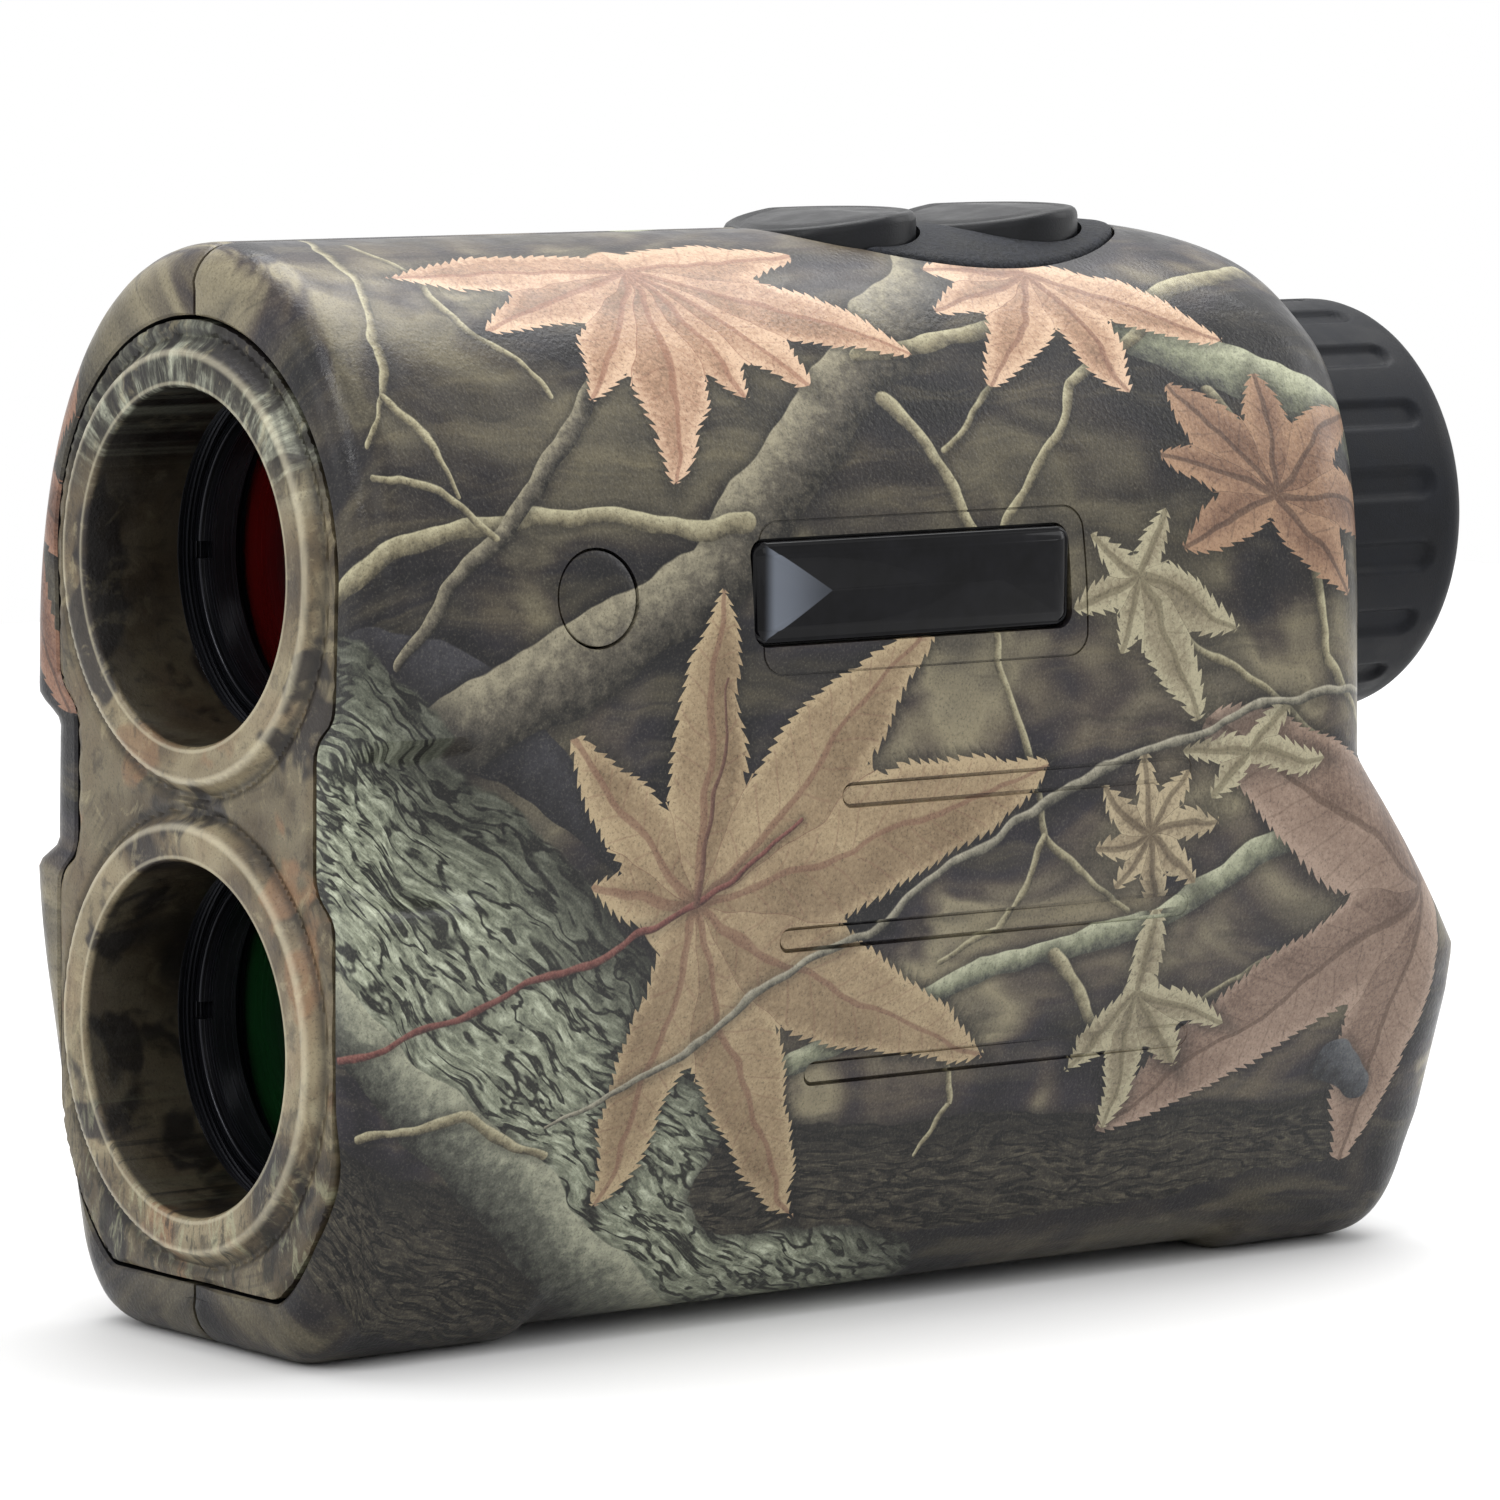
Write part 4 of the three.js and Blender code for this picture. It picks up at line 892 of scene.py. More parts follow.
def level(outline, z):
    """A flat outline, raised to a height."""
    return np.c_[outline, np.full(len(outline), z)]


def box(x0, x1, y0, y1, z0, z1):
    ring = np.array([(x0, y0), (x1, y0), (x1, y1), (x0, y1)])
    return loft("tool", [level(ring, z) for z in (z0, z1)])


# ---- the case surface
def step_ramp(a, b, x):
    t = np.clip((x - a) / (b - a), 0, 1)
    return t * t * (3 - 2 * t)


def case_outline(v, inset=0.0):
    """Half outline seen from the front: bottom centre at v = 0, crest at v = 1."""
    v = np.asarray(v, float)
    belly, hip, width = BELLY_Z + inset, HALF_WIDTH + HIP - inset, HALF_WIDTH - inset
    radius = BELLY_RADIUS - inset

    def lean_x(z):
        return hip - (HIP_Z - z) * math.tan(LEAN)

    flat = lean_x(belly + radius) - radius / math.cos(LEAN)
    knee = belly + radius - radius * math.sin(LEAN)
    a = -math.pi / 2 + (math.pi / 2 - LEAN) * np.clip((v - 0.08) / 0.12, 0, 1)
    lean_z = knee + (LEAN_TOP_Z - knee) * np.clip((v - 0.2) / 0.12, 0, 1)
    t = np.clip((v - 0.32) / 0.12, 0, 1)
    bend_x = (1 - t) ** 2 * lean_x(LEAN_TOP_Z) + 2 * t * (1 - t) * hip + t * t * (hip - 0.05)
    bend_z = (1 - t) ** 2 * LEAN_TOP_Z + 2 * t * (1 - t) * HIP_Z + t * t * BEND_TOP_Z
    q = np.clip((v - 0.44) / 0.14, 0, 1)
    b = math.pi / 2 * np.clip((v - 0.58) / 0.42, 0, 1)
    crown_x = width * np.maximum(0, np.cos(b)) ** (2 / ROUND_POWER)
    crown_z = SHOULDER_Z + (CREST_Z - inset - SHOULDER_Z) * np.sin(b) ** (2 / ROUND_POWER)
    zones = [v < 0.08, v < 0.2, v < 0.32, v < 0.44, v < 0.58]
    x = np.select(zones, [flat * v / 0.08, flat + radius * np.cos(a), lean_x(lean_z), bend_x,
                          hip - 0.05 + (width - hip + 0.05) * q], crown_x)
    z = np.select(zones, [belly + 0 * v, belly + radius + radius * np.sin(a), lean_z, bend_z,
                          BEND_TOP_Z + (SHOULDER_Z - BEND_TOP_Z) * q], crown_z)
    return x, z


def side_x(z):
    """Outer half width of the case at height z."""
    x, heights = case_outline(np.linspace(0.2, 1, 4000))
    return np.interp(z, heights, x)


def skin_rows(dense):
    """Stages from the middle of the front face to the middle of the rear face."""
    face = [("front", t) for t in (np.linspace(0, 1, 5) if dense else (0, 0.43, 1))]
    roll = [("roll", t) for t in np.linspace(0, 1, 9 if dense else 4)[1:]]
    near = [("near", t) for t in (np.arange(-47.0, -29.0, 0.5) if dense else (-44.5, -38.5, -33, -29.5))]
    far = [("far", t) for t in np.linspace(0, 1, 76 if dense else 12)[1:]]
    rear = [("rear", t) for t in np.linspace(0, 1, 21 if dense else 7)[1:]]
    back = [("back", t) for t in (np.linspace(1, 0, 6)[1:] if dense else (0.43, 0))]
    return face + roll + near + far + rear + back


def case_half(name, side, inset=0.0, dense=True, edge_x=PARTING):
    """One half of the case as a closed solid, flat on the middle plane."""
    if dense:
        v = np.concatenate([[0, 0.0012, 0.003], np.linspace(0.008, 0.08, 9), np.linspace(0.09, 0.2, 18),
                            np.linspace(0.21, 0.58, 60), np.linspace(0.588, 0.985, 62), [0.993, 0.998, 1]])
    else:
        v = np.linspace(0, 1, 44)
    x, z = case_outline(v, inset)
    h = 1e-3
    xa, za = case_outline(np.maximum(v - h, 0), inset)
    xb, zb = case_outline(np.minimum(v + h, 1), inset)
    length = np.hypot(xb - xa, zb - za)
    nx, nz = (zb - za) / length, -(xb - xa) / length
    nx[0] = nx[-1] = 0
    nz[0], nz[-1] = -1, 1
    top, low = step_ramp(65.4, CREST_Z, z), step_ramp(9.4, 1.6, z)
    power = 2 / (2 - 0.25 * top)
    depth = np.maximum((5.6 - 1.2 * top) * (1 - low) + 7 * low - inset, 1)
    reach = np.maximum((6.8 + 9.7 * top) * (1 - low) + 4.3 * low - inset, 1)
    edge = max(FRONT_RADIUS - inset, 1)
    front = FRONT_Y + inset
    rear_start = np.interp(z, REAR_Z, REAR_Y) - inset - reach
    rows = []
    for stage, t in skin_rows(dense):
        if stage == "front":
            px, pz = (x - nx * edge) * t, z - nz * edge
            py = np.full_like(x, front)
        elif stage == "roll":
            d = edge * (1 - math.sin(math.pi / 2 * t))
            px, pz = x - nx * d, z - nz * d
            py = np.full_like(x, front + edge * (1 - math.cos(math.pi / 2 * t)))
        elif stage == "near":
            px, pz, py = x.copy(), z.copy(), np.full_like(x, t)
        elif stage == "far":
            px, pz, py = x.copy(), z.copy(), MIDDLE_START_Y + (rear_start - MIDDLE_START_Y) * t
        else:
            a = math.pi / 2 * (t if stage == "rear" else 1)
            d = depth * (1 - max(0, math.cos(a)) ** power)
            px, pz = x - nx * d, z - nz * d
            py = np.interp(pz, REAR_Z, REAR_Y) - inset - reach * (1 - math.sin(a) ** power)
            if stage == "back":
                px = px * t
        waist = (step_ramp(30.7, 32.9, pz) * step_ramp(43, 40.8, pz) * step_ramp(-38.5, -44.5, py)
                 * step_ramp(15, 18, px))
        px = px - WAIST_DEPTH * waist
        foot = np.maximum(step_ramp(-31, -33, py), step_ramp(29.5, 32, py))
        pz = pz - FOOT_DROP * foot * step_ramp(7, 1.8, pz)
        if dense:
            # a small bevel along the seam between the two shells
            bevel = 0.13 * np.clip(1 - (px - PARTING) / 0.18, 0, 1)
            pz = pz - nz * bevel
            py = py + (bevel if stage == "front" else -bevel if stage == "back" else 0)
        rows.append(np.stack([np.maximum(px, edge_x) * side, py, pz], 1))
    count, n = len(v), len(rows)
    vertices = np.concatenate(rows)
    faces = [(r * count + i, r * count + i + 1, (r + 1) * count + i + 1, (r + 1) * count + i)
             for r in range(n - 1) for i in range(count - 1)]
    rim = ([r * count for r in range(n)] + [(n - 1) * count + i for i in range(1, count)]
           + [r * count + count - 1 for r in range(n - 2, -1, -1)] + list(range(count - 2, 0, -1)))
    faces.append(rim)
    return outwards(make_object(name, vertices, faces))


# ---- outlines
def bezier(a, b, c, d, count=10):
    """Points of a cubic curve, without its first one."""
    t = np.linspace(0, 1, count + 1)[1:, None]
    a, b, c, d = (np.array(p, float) for p in (a, b, c, d))
    return (1 - t) ** 3 * a + 3 * t * (1 - t) ** 2 * b + 3 * t * t * (1 - t) * c + t ** 3 * d


def bezel_outline(grow):
    """The front plate: two round lobes joined by a narrow waist, as (x, z)."""
    side, waist, bottom, arc = 16.2 + grow, 14 + grow, 4.6 - grow, 16.5 + grow
    half = [np.array([[x, bottom] for x in np.linspace(0, 9.2 + grow, 8)])]
    half.append(bezier((9.2 + grow, bottom), (11 + grow, bottom), (side, 10.5), (side, 15.5), 16))
    half.append(np.array([[side, z] for z in np.linspace(15.5, 29.5, 12)[1:]]))
    half.append(bezier((side, 29.5), (side, 31.6), (waist, 31.2), (waist, 33.6)))
    half.append(np.array([[waist, z] for z in np.linspace(33.6, 40.8, 7)[1:]]))
    half.append(bezier((waist, 40.8), (waist, 43.2), (side, 42.8), (side, 45)))
    t = np.linspace(0, 1, 8)[1:]
    half.append(np.stack([side + (arc - side) * t, 45 + (UPPER_Z - 45) * t], 1))
    a = np.linspace(0, math.pi / 2, 40)[1:]
    half.append(np.stack([arc * np.cos(a), UPPER_Z + arc * np.sin(a)], 1))
    half = np.concatenate(half)
    half[-1, 0] = 0
    return np.concatenate([half, (half[1:-1] * [-1, 1])[::-1]])


def egg(y, half_width, front, rear, count=96):
    """An oval about y whose front and rear halves differ in length."""
    c, s = circle(count)
    return np.stack([half_width * c, y + np.where(s > 0, rear, front) * s], 1)


def round_rectangle(a0, a1, b0, b1, r, steps=8):
    out = []
    for ca, cb, start in ((a1 - r, b0 + r, -90), (a1 - r, b1 - r, 0), (a0 + r, b1 - r, 90),
                          (a0 + r, b0 + r, 180)):
        for k in range(steps + 1):
            angle = math.radians(start + 90 * k / steps)
            out.append((ca + r * math.cos(angle), cb + r * math.sin(angle)))
    return np.array(out)


def on_front(outline, y):
    return np.stack([outline[:, 0], np.full(len(outline), y), outline[:, 1]], 1)


def on_side(outline, x):
    return np.stack([np.full(len(outline), x), outline[:, 0], outline[:, 1]], 1)


def inset_outline(outline, amount):
    """Moves a closed outline inwards along its own normals."""
    tangent = np.roll(outline, -1, 0) - np.roll(outline, 1, 0)
    tangent /= np.linalg.norm(tangent, axis=1, keepdims=True)
    normal = np.stack([tangent[:, 1], -tangent[:, 0]], 1)
    area = np.sum(outline[:, 0] * np.roll(outline[:, 1], -1) - np.roll(outline[:, 0], -1) * outline[:, 1])
    return outline - normal * amount * np.sign(area)


# ---- shells
probe = case_half("probe", 1)
PROBE = BVHTree.FromPolygons([v.co / MM for v in probe.data.vertices],
                             [p.vertices[:] for p in probe.data.polygons])
bpy.data.objects.remove(probe)


def top_z(x, y):
    """Height of the case's top over a point."""
    hit = PROBE.ray_cast(Vector((max(abs(x), 0.4), y, 120)), Vector((0, 0, -1)))[0]
    return hit.z if hit else CREST_Z


def on_top(outline, lift):
    """An outline laid on the case's top, raised by lift."""
    return np.c_[outline, np.array([top_z(x, y) for x, y in outline]) + lift]


def towards(outline, middle, scale):
    return (outline - middle) * scale + middle


def rib_outline(y0, y1, z):
    return round_rectangle(y0, y1, z - RIB_HALF, z + RIB_HALF, RIB_HALF - 0.02, 7)


def rib_cutter(y0, y1, z, side):
    """A long recess with a round front end whose floor runs out towards the rear."""
    outline = rib_outline(y0, y1, z)
    wall = side_x(z)
    fade = np.clip((outline[:, 0] - y0) / (y1 - y0), 0, 1) * (RIB_DEPTH - 0.02)
    rings = []
    for amount, out in ((0.12, -RIB_DEPTH), (0.0, 0.12 - RIB_DEPTH), (0.0, 0.06), (-0.25, 0.4)):
        ring = on_side(inset_outline(outline, amount), wall + out)
        ring[:, 0] = (ring[:, 0] + fade * (out < 0)) * side
        rings.append(ring)
    return loft("tool", rings)


def hairline(outline, side, half, depth, rear_depth):
    """A thin groove along a closed outline on the side, whose depth changes towards the rear."""
    t = (outline[:, 0] - outline[:, 0].min()) / np.ptp(outline[:, 0])
    floor = depth + (rear_depth - depth) * t
    rings = []
    for amount, out in ((-half, -floor), (half, -floor), (half, 3), (-half, 3)):
        ring = on_side(inset_outline(outline, amount), 0.0)
        ring[:, 0] = side * (side_x(ring[:, 2]) + out)
        rings.append(ring)
    return loft("tool", rings, closed=True)


def shell_inside(side):
    """What stands inside a shell: the cap's collar, the eyepiece's web and the screw pillars."""
    inner = rod(CAP_RADIUS + 2, 36, 48.6, BATTERY_Z)
    web = box(-21, 21, 27.4, 30.4, 38.5, 70)
    carve(web, rod(12.9, 20, 40, UPPER_Z))
    carve(inner, web, "UNION")
    for y, z in SCREWS:
        foot = float(side_x(z)) - 5.5
        carve(inner, rod(2.2, -20, 20, (y, z), 24), "UNION")
        carve(inner, rod(3.3, side * foot, side * 22, (y, z), 24), "UNION")
    return carve(inner, case_half("tool", side, 0.6, False), "INTERSECT")


def pad_pocket():
    """The recess that the pad lies in, a little larger than the pad and level with its underside."""
    outline = egg(PAD_Y, PAD_HALF_WIDTH + 0.2, PAD_FRONT + 0.2, PAD_REAR + 0.2)
    wide = inset_outline(outline, -0.2)
    rings = [on_top(towards(outline, (0, PAD_Y), s), -1.3) for s in (0.02, 0.2, 0.4, 0.6, 0.8, 0.93, 1.0)]
    return loft("tool", rings + [on_top(outline, -0.1), on_top(wide, 0.12), level(wide, 90)])


def key_hole(y, gap):
    outline = egg(y, KEY_HALF_WIDTH + gap, KEY_FRONT + gap, KEY_REAR + gap)
    return loft("tool", [level(outline, z) for z in (60, 90)])


def build_shell(side):
    shell = case_half("shell", side)
    carve(shell, case_half("tool", side, WALL, False, -5))
    carve(shell, shell_inside(side), "UNION")
    # the front opening, with a small bevel
    carve(shell, loft("tool", [on_front(bezel_outline(g), y) for g, y in
                               ((GAP, -46.5), (GAP, -50.12), (GAP + 0.2, -50.32), (GAP + 0.2, -60))]))
    mouth, cap_hole = EYECUP_RADIUS + 0.35, CAP_RADIUS + GAP
    carve(shell, spindle([(mouth, EYECUP_START_Y - 0.4), (mouth, 38.3), (mouth + 0.4, 38.8),
                          (mouth + 0.4, 60)], UPPER_Z, 128))
    carve(shell, spindle([(cap_hole, 30), (cap_hole, 48.2), (cap_hole + 0.6, 48.8), (cap_hole + 0.6, 60)],
                         BATTERY_Z, 96))
    for y in (MEASURE_KEY_Y, MODE_KEY_Y):
        carve(shell, key_hole(y, 0.5))
    carve(shell, pad_pocket())
    for y, z in SCREWS:
        head = 1.3 - float(side_x(z))
        carve(shell, rod(1.15, -30, 7, (y, z), 16))
        carve(shell, spindle([(2.7, -30), (2.7, head - 1.25), (2.3, head - 0.9), (2.3, head + 1.9)],
                             (y, z), 40))
    for rib in RIBS:
        carve(shell, rib_cutter(*rib, side))
        carve(shell, hairline(rib_outline(*rib), side, 0.14, RIB_DEPTH + 0.45, 0.03))
    (y0, y1), (z0, z1) = BADGE_Y, BADGE_Z
    border = round_rectangle(y0 + 0.6, y1 + 1.6, z0 - 2.1, z1 + 1.3, 1.6)
    carve(shell, hairline(border, side, 0.08, 0.1, 0.16))
    if side > 0:
        pocket = round_rectangle(y0 - 0.2, y1 + 0.2, z0 - 0.2, z1 + 0.2, 1.2)
        carve(shell, loft("tool", [on_side(pocket, BADGE_FLOOR - 0.1), on_side(pocket, 30)]))
        carve(shell, spindle([(PLUG_RADIUS + 0.16, 18.8), (PLUG_RADIUS + 0.16, 20.2),
                              (PLUG_RADIUS + 0.3, 30)], (PLUG_Y, PLUG_Z), 72))
    name = "right" if side > 0 else "left"
    piece(shell, name + "_shell", name + "_film")


for half in (1, -1):
    build_shell(half)


# ---- front plate
def build_bezel():
    """A height field over the plate's outline: soft rims around the two openings."""
    step = 0.34
    gx, gz = np.meshgrid(np.arange(-17.4, 17.5, step), np.arange(3.6, 70.4, step))
    r = np.minimum(np.hypot(gx, gz - UPPER_Z), np.hypot(gx, gz - LOWER_Z))
    rise = step_ramp(RIM_FOOT, RIM_CREST, r) * RIM_HEIGHT + 0.1 * step_ramp(12.0, 13.6, r) - 0.1
    rise -= 0.3 * np.exp(-((r - 15.5) / 0.3) ** 2)
    outline = bezel_outline(0)
    fine = np.concatenate([np.linspace(a, b, 4, endpoint=False)
                           for a, b in zip(outline, np.roll(outline, -1, 0))])
    away = np.min(np.hypot(gx[..., None] - fine[:, 0], gz[..., None] - fine[:, 1]), -1)
    t = np.clip(1 - away / 0.45, 0, 1)
    edge = 0.4 * (1 - np.sqrt(1 - t * t * 0.98))
    y = PLATE_FACE_Y - rise * np.clip(away / 0.6, 0, 1) + edge
    n, m = gx.shape
    top = np.stack([gx, y, gz], -1).reshape(-1, 3)
    base = top.copy()
    base[:, 1] = PLATE_REAR_Y
    k = np.arange(n * m).reshape(n, m)
    a, b, c, d = k[:-1, :-1].ravel(), k[:-1, 1:].ravel(), k[1:, 1:].ravel(), k[1:, :-1].ravel()
    faces = np.stack([a, b, c, d], 1).tolist() + (np.stack([d, c, b, a], 1) + n * m).tolist()
    loop = np.concatenate([k[0, :], k[1:, -1], k[-1, -2::-1], k[-2:0:-1, 0]])
    for i, p in enumerate(loop):
        q = loop[(i + 1) % len(loop)]
        faces.append([q, p, p + n * m, q + n * m])
    plate = outwards(make_object("bezel", np.concatenate([top, base]), faces))
    carve(plate, loft("tool", [on_front(outline, y) for y in (-55, -40)]), "INTERSECT")
    for z in (UPPER_Z, LOWER_Z):
        tube = [(11, -49), (TUBE_RADIUS, -49), (TUBE_RADIUS, TUBE_END_Y), (11, TUBE_END_Y)]
        carve(plate, lathe("tool", tube, z, 128), "UNION")
        carve(plate, spindle([(13.0, -60), (13.0, -52.0), (BORE + 0.16, -51.16), (BORE, -50.9), (BORE, -40)],
                             z, 160))
    piece(plate, "front_bezel", "bezel_film")


build_bezel()


# ---- badge and plug
def build_badge():
    """A gloss plate with rolled edges and a scooped front end; it carries no mark."""
    outline = round_rectangle(*BADGE_Y, *BADGE_Z, 1.0, 12)
    middle = BADGE_MIDDLE
    rings = [on_side(outline, BADGE_FLOOR), on_side(outline, BADGE_FACE - 0.75)]
    for inset, drop in ((0.03, 0.55), (0.1, 0.42), (0.24, 0.34), (0.34, 0.36), (0.44, 0.3), (0.6, 0.17),
                        (0.85, 0.07)):
        rings.append(on_side(inset_outline(outline, inset), BADGE_FACE - drop))
    last = towards(rings[-1][:, 1:], middle, 0.97)
    rings.append(on_side(last, BADGE_FACE - 0.02))
    for t in np.linspace(0.95, 0.02, 18):
        rings.append(on_side(towards(last, middle, [0.6 + 0.4 * t, t]), BADGE_FACE))
    for ring in rings[2:]:
        # a scoop at the front end that runs out to a point, and a slight crown
        aside = np.clip(np.abs(ring[:, 2] - middle[1]) / 3.45, 0, 1)
        scoop = np.clip(1 - (ring[:, 1] - BADGE_Y[0]) / (0.7 + 5.6 * (1 - aside) ** 0.8), 0, 1)
        ring[:, 0] -= 0.8 * scoop ** 1.2 + 0.05 * aside ** 2
        ring[:, 0] = np.maximum(ring[:, 0], BADGE_FLOOR + 0.3)
    piece(loft("badge", rings), "badge_plate", "gloss_black", crease=40, name="badge_look")


def build_plug(count=72):
    """A flush round plug that follows the curve of the side."""
    c, s = circle(count)
    rings = []
    for scale, drop in ((1, 1.6), (1, 0.22), (0.985, 0.07), (0.95, 0.02), (0.8, 0), (0.5, 0), (0.02, 0)):
        y, z = PLUG_Y + PLUG_RADIUS * scale * c, PLUG_Z + PLUG_RADIUS * scale * s
        x = np.full(count, 18.9) if drop > 1 else side_x(z) - 0.03 - drop
        rings.append(np.stack([x, y, z], 1))
    piece(loft("plug", rings), "side_plug", "right_film")


build_badge()
build_plug()


# ---- keypad
def build_pad():
    outline, middle = egg(PAD_Y, PAD_HALF_WIDTH, PAD_FRONT, PAD_REAR, 144), (0, PAD_Y)
    rings = [on_top(towards(outline, middle, s), -1.1) for s in (0.02, 0.4, 0.8, 1.0)]
    for inset, lift in ((0, -0.12), (0.05, 0.06), (0.2, 0.17), (0.4, 0.2)):
        rings.append(on_top(inset_outline(outline, inset), lift))
    last = rings[-1][:, :2]
    for s in (0.9, 0.8, 0.7, 0.55, 0.4, 0.25, 0.1, 0.02):
        rings.append(on_top(towards(last, middle, s), 0.2))
    pad = loft("pad", rings)
    for y in (MEASURE_KEY_Y, MODE_KEY_Y):
        carve(pad, key_hole(y, 0.3))
    piece(pad, "keypad_pad", "pad_rubber")


def build_key(name, y, body):
    """A shell-shaped key: low pointed front, thick rounded back, slightly dished top."""
    outline = egg(y, KEY_HALF_WIDTH, KEY_FRONT, KEY_REAR, 112)

    def height(ring):
        ahead = np.maximum(0, y + 0.5 - ring[:, 1])
        behind = ring[:, 1] - y - 1.2
        return KEY_TOP_Z - 0.13 * ahead - (behind ** 2 + ring[:, 0] ** 2) / 130

    rings = [level(outline, 71.2)]
    for inset, drop in ((0, 0.62), (0.05, 0.36), (0.17, 0.14), (0.36, 0.02), (0.55, 0.0), (0.8, 0.05),
                        (1.1, 0.14)):
        rings.append(np.c_[inset_outline(outline, inset), height(outline) - drop])
    last = rings[-1][:, :2]
    for s in (0.9, 0.75, 0.6, 0.45, 0.3, 0.15, 0.02):
        ring = towards(last, (0, y), s)
        rings.append(np.c_[ring, height(ring) - 0.14 - 0.16 * (1 - s * s)])
    key = loft("key", rings)
    post = egg(y + 1, 1.6, 1.6, 1.6, 24)
    carve(key, loft("tool", [level(post, z) for z in (70.45, 71.4)]), "UNION")
    piece(key, name, "key_rubber", body, 50)


build_pad()
build_key("measure_button", MEASURE_KEY_Y, "measure_key")
build_key("mode_button", MODE_KEY_Y, "mode_key")


# ---- lens groups
def notched_ring(z):
    corners = [(10.9, -39.4), (10.9, -41.6), (11.2, -42.3), (12.1, -42.3), (12.1, -39.4)]
    return carve(lathe("ring", rounded(corners, 0.08), z, 128), box(-13, 13, -43, -41.4, z - 0.6, z + 0.6))


def threaded_cell(z):
    """A lens cell; the bore ahead of the lens carries a fine thread."""
    front = TUBE_END_Y + GAP
    profile = [(12.95, front), (13.4, front), (13.4, -26), (11.4, -26), (10.9, -34), (12.3, -34),
               (12.3, -39.4)]
    y = -39.6
    while y > -42.9:
        profile += [(12.25, y), (12.55, y - 0.18)]
        y -= 0.36
    profile.append((12.6, front + 0.1))
    return lathe("cell", profile, z, 128)


def curved_lens(radius, front, rear, front_sag, rear_sag, z, steps=14):
    """A lens whose two faces bulge by their sag in the middle."""
    profile = [(radius * k / steps, front - front_sag * (1 - (k / steps) ** 2)) for k in range(steps + 1)]
    profile += [(radius * k / steps, rear + rear_sag * (1 - (k / steps) ** 2)) for k in range(steps, -1, -1)]
    return lathe("lens", profile, z, 128)


for which, z, metal, glass in (("objective", UPPER_Z, "upper_metal", "red_lens"),
                               ("receiver", LOWER_Z, "lower_metal", "green_lens")):
    piece(threaded_cell(z), which + "_cell", metal)
    piece(notched_ring(z), which + "_ring", metal)
    lens = curved_lens(LENS_RADIUS, LENS_FRONT_Y, LENS_REAR_Y, 1.3, 0.4, z)
    piece(lens, which + "_lens", glass, crease=60)


# ---- eyepiece
def build_eyecup():
    """The rubber cup: soft lengthwise finger slots and a rolled rear lip."""
    outer = [(EYECUP_RADIUS - 0.4, EYECUP_START_Y), (EYECUP_RADIUS, EYECUP_START_Y + 0.4)]
    outer += [(EYECUP_RADIUS, y) for y in np.arange(34.1, 49.3, 0.3)]
    for k in range(1, 9):
        a = math.pi / 2 * k / 8
        outer.append((EYECUP_RADIUS - 2.0 * (1 - math.cos(a)), 49.3 + 2.0 * math.sin(a)))
    inner = [(12.4, EYECUP_END_Y), (11.6, EYECUP_END_Y - 0.05), (11.0, 51.0), (10.2, 50.55), (9.7, 50.2),
             (9.6, 50.0), (9.75, 49.95), (13.9, 49.95), (13.9, EYECUP_START_Y)]
    segments = SLOT_COUNT * 26
    angles = 2 * math.pi * np.arange(segments) / segments
    pitch = 2 * math.pi / SLOT_COUNT
    nearest = (np.floor(angles / pitch) + 0.5) * pitch
    aside = np.abs(angles - nearest) * EYECUP_RADIUS
    c, s = circle(segments)
    rings = []
    for r, y in outer + inner:
        reach = np.full(segments, float(r))
        if r > 14.5:
            away = np.hypot(aside, max(0.0, y - SLOT_STOP_Y, SLOT_START_Y - y))
            reach -= SLOT_DEPTH * step_ramp(1.2, 0.7, away)
        rings.append(np.stack([reach * c, np.full(segments, y), UPPER_Z + reach * s], 1))
    piece(loft("eyecup", rings, closed=True), "eyecup", "eyecup_rubber", "diopter_knob", 50)


build_eyecup()
TURNED = {
    "diopter_ring": ([(12.9, 33.4), (13.8, 33.4), (13.8, 49.8), (10.3, 49.8), (10.3, 49), (12.9, 49)],
                     "black_plastic", "diopter_knob", UPPER_Z),
    "eyepiece_barrel": ([(11.1, 21.5), (12.6, 21.5), (12.6, 30.7), (13.9, 30.7), (13.9, 32.5), (12.6, 32.5),
                         (12.6, 47.6), (11.1, 47.6)], "black_metal", "case", UPPER_Z),
    "eyepiece_cell": ([(9.9, 24.4), (10.8, 24.4), (10.8, 46.2), (9.9, 46.2), (9.9, 41.6), (8.9, 41.6),
                       (8.9, 30.2), (9.9, 30.2)], "black_metal", "eyepiece_group", UPPER_Z),
    "eyepiece_ring": ([(8.4, 44.2), (9.7, 44.2), (9.7, 46.2), (8.8, 46.2), (8.4, 45.6)],
                      "black_metal", "eyepiece_group", UPPER_Z),
    "receiver_hood": ([(11.1, -25.6), (12.3, -25.6), (12.3, -24), (6.4, -12.6), (5.2, -12.6), (11.1, -23.6)],
                      "black_plastic", "case", LOWER_Z),
    "cap_seal": ([(8.05, 46.15), (8.4, 46.75), (9.1, 46.75), (9.45, 46.15), (9.1, 45.55), (8.4, 45.55)],
                 "eyecup_rubber", "cap_carrier", BATTERY_Z),
}
for name, (profile, material, body, z) in TURNED.items():
    piece(lathe(name, rounded(profile, 0.14), z, 112), name, material, body)
for name, *shape in (("field_lens", 27.2, 29.4, 0.9, 0.5), ("eye_lens", 42.2, 43.9, 0.3, 1.2)):
    piece(curved_lens(EYE_LENS_RADIUS, *shape, UPPER_Z), name, "clear_glass", "eyepiece_group", 60)


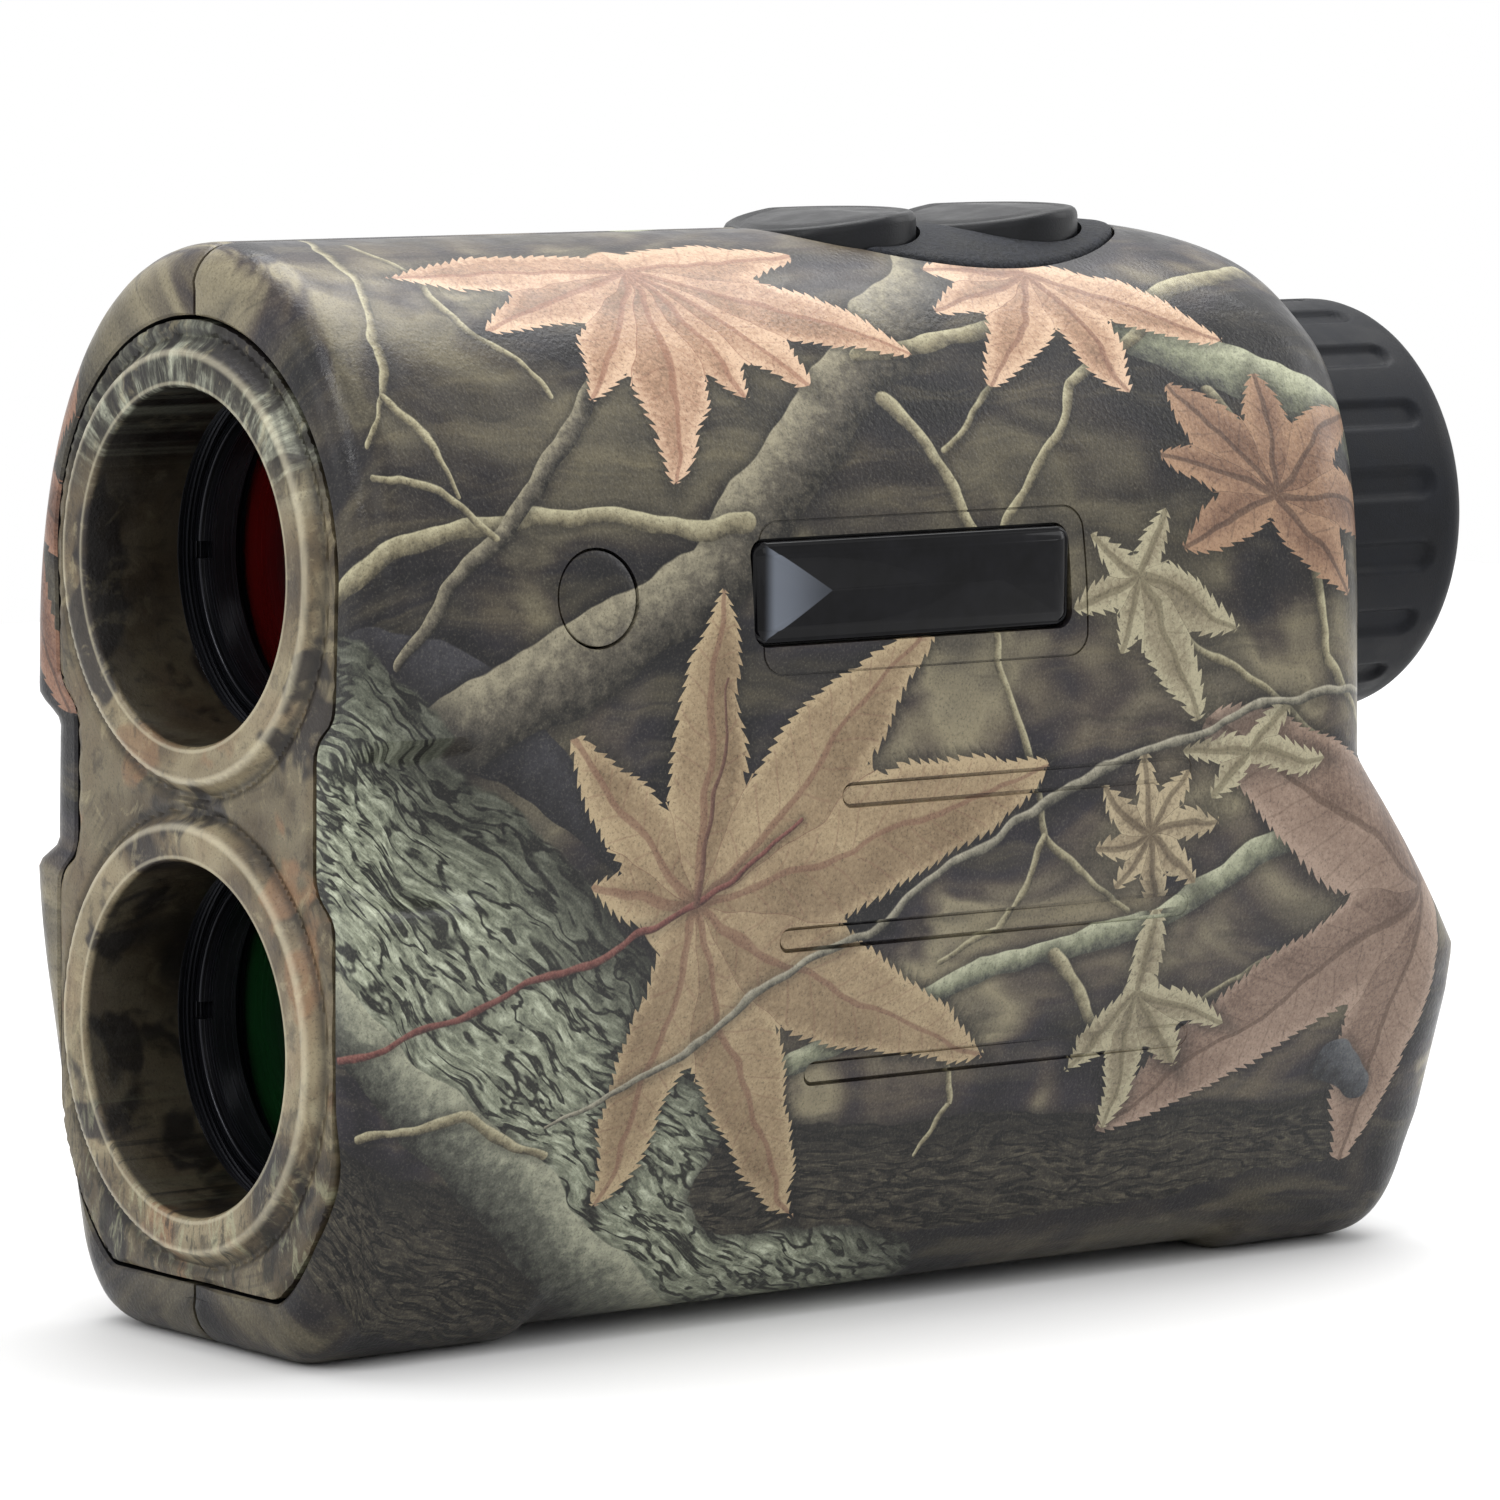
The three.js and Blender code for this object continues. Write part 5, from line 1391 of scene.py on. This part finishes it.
# ---- battery cap and screws
def build_cap():
    r, y = CAP_RADIUS, CAP_FACE_Y
    profile = [(0, 44.7), (8.6, 44.7), (8.6, 45.4), (7.9, 45.4), (7.9, 46.9), (r - 0.2, 46.9), (r, 47.2),
               (r, y - 0.45), (r - 0.12, y - 0.16), (r - 0.45, y), (8.2, y), (8.05, y - 0.22),
               (7.8, y - 0.25), (0, y - 0.2)]
    cap = lathe("cap", profile, BATTERY_Z, 128)
    slot = round_rectangle(-7, 7, BATTERY_Z - 0.8, BATTERY_Z + 0.8, 0.5, 5)
    wide = inset_outline(slot, -0.2)
    carve(cap, loft("tool", [on_front(slot, y - 1.4), on_front(slot, y - 0.4), on_front(wide, y - 0.18),
                             on_front(wide, 60)]))
    piece(cap, "battery_cap", "black_plastic", "cap")


def build_screw(index, y, z):
    head = 1.3 - float(side_x(z))
    profile = [(0, head), (1.3, head + 0.06), (1.75, head + 0.28), (1.98, head + 0.6), (2.0, head + 1.4),
               (1.0, head + 1.4)]
    x = head + 1.8
    while x < 4.6:
        profile += [(0.98, x), (0.84, x + 0.2)]
        x += 0.45
    profile += [(0.7, 4.8), (0, 5)]
    screw = lathe("screw", profile, (y, z), 40)
    carve(screw, box(head - 1, head + 0.6, y - 0.3, y + 0.3, z - 3, z + 3))
    piece(screw, f"case_screw_{index}", "steel")


build_cap()
for number, (y, z) in enumerate(SCREWS, 1):
    build_screw(number, y, z)


# ---- finishes of the CAD pieces that stay
STAYING = {
    "circuit_board": ["keypad_board", "sensor_board", "main_board"],
    "steel": ["measure_switch", "mode_switch", "light_sensor", "battery_spring"],
    "gold_plate": ["laser_diode", "cap_contact"],
    "black_plastic": ["prism_frame", "display_frame", "battery_tube"],
    "black_metal": ["laser_holder"],
    "clear_glass": ["half_prism", "roof_prism", "display_panel"],
    "chip_plastic": ["processor_chip", "step_up_transformer"],
    "battery_sleeve": ["storage_capacitor", "battery_cell"],
}
for slot, names in STAYING.items():
    for name in names:
        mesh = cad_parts[name].data
        mesh.materials.clear()
        mesh.materials.append(MATERIALS[slot])


# ---- floor and light
def build_floor(half=450):
    floor = make_object("floor", [(-half, -half, 0), (half, -half, 0), (half, half, 0), (-half, half, 0)],
                        [(0, 1, 2, 3)])
    material = bpy.data.materials.new("pale_floor")
    material.use_nodes = True
    bsdf = material.node_tree.nodes["Principled BSDF"]
    bsdf.inputs["Roughness"].default_value = 0.7
    bsdf.inputs["Base Color"].default_value = (0.62, 0.62, 0.62, 1)
    floor.data.materials.append(material)


def area_light(name, where, aim, width, length, power):
    """A rectangular light, in metres and watts, that faces the point aim."""
    data = bpy.data.lights.new(name, "AREA")
    data.shape = "RECTANGLE"
    data.size, data.size_y = width, length
    data.energy = power
    light = bpy.data.objects.new(name, data)
    light.location = where
    light.rotation_euler = (Vector(aim) - Vector(where)).to_track_quat("-Z", "Y").to_euler()
    bpy.context.scene.collection.objects.link(light)


build_floor()
area_light("top_light", (-0.1, 0.15, 0.75), (0, 0, 0.03), 0.75, 0.75, 8.5)
area_light("side_light", (0.75, -0.25, 0.45), (0, 0, 0.04), 0.45, 0.45, 0.8)
area_light("strip_light", (0.22, -0.5, 0.5), (0, -0.04, 0.06), 0.06, 0.5, 1.5)
area_light("front_light", (-0.2, -0.8, 0.3), (0, 0, 0.04), 0.4, 0.4, 0.8)
area_light("rear_light", (0.3, 0.8, 0.45), (0, 0, 0.05), 0.5, 0.5, 2.0)
world = bpy.data.worlds.new("studio")
world.use_nodes = True
world.node_tree.nodes["Background"].inputs[0].default_value = (1, 1, 1, 1)
world.node_tree.nodes["Background"].inputs[1].default_value = 1.0
bpy.context.scene.world = world
bpy.context.scene.view_settings.view_transform = "Standard"
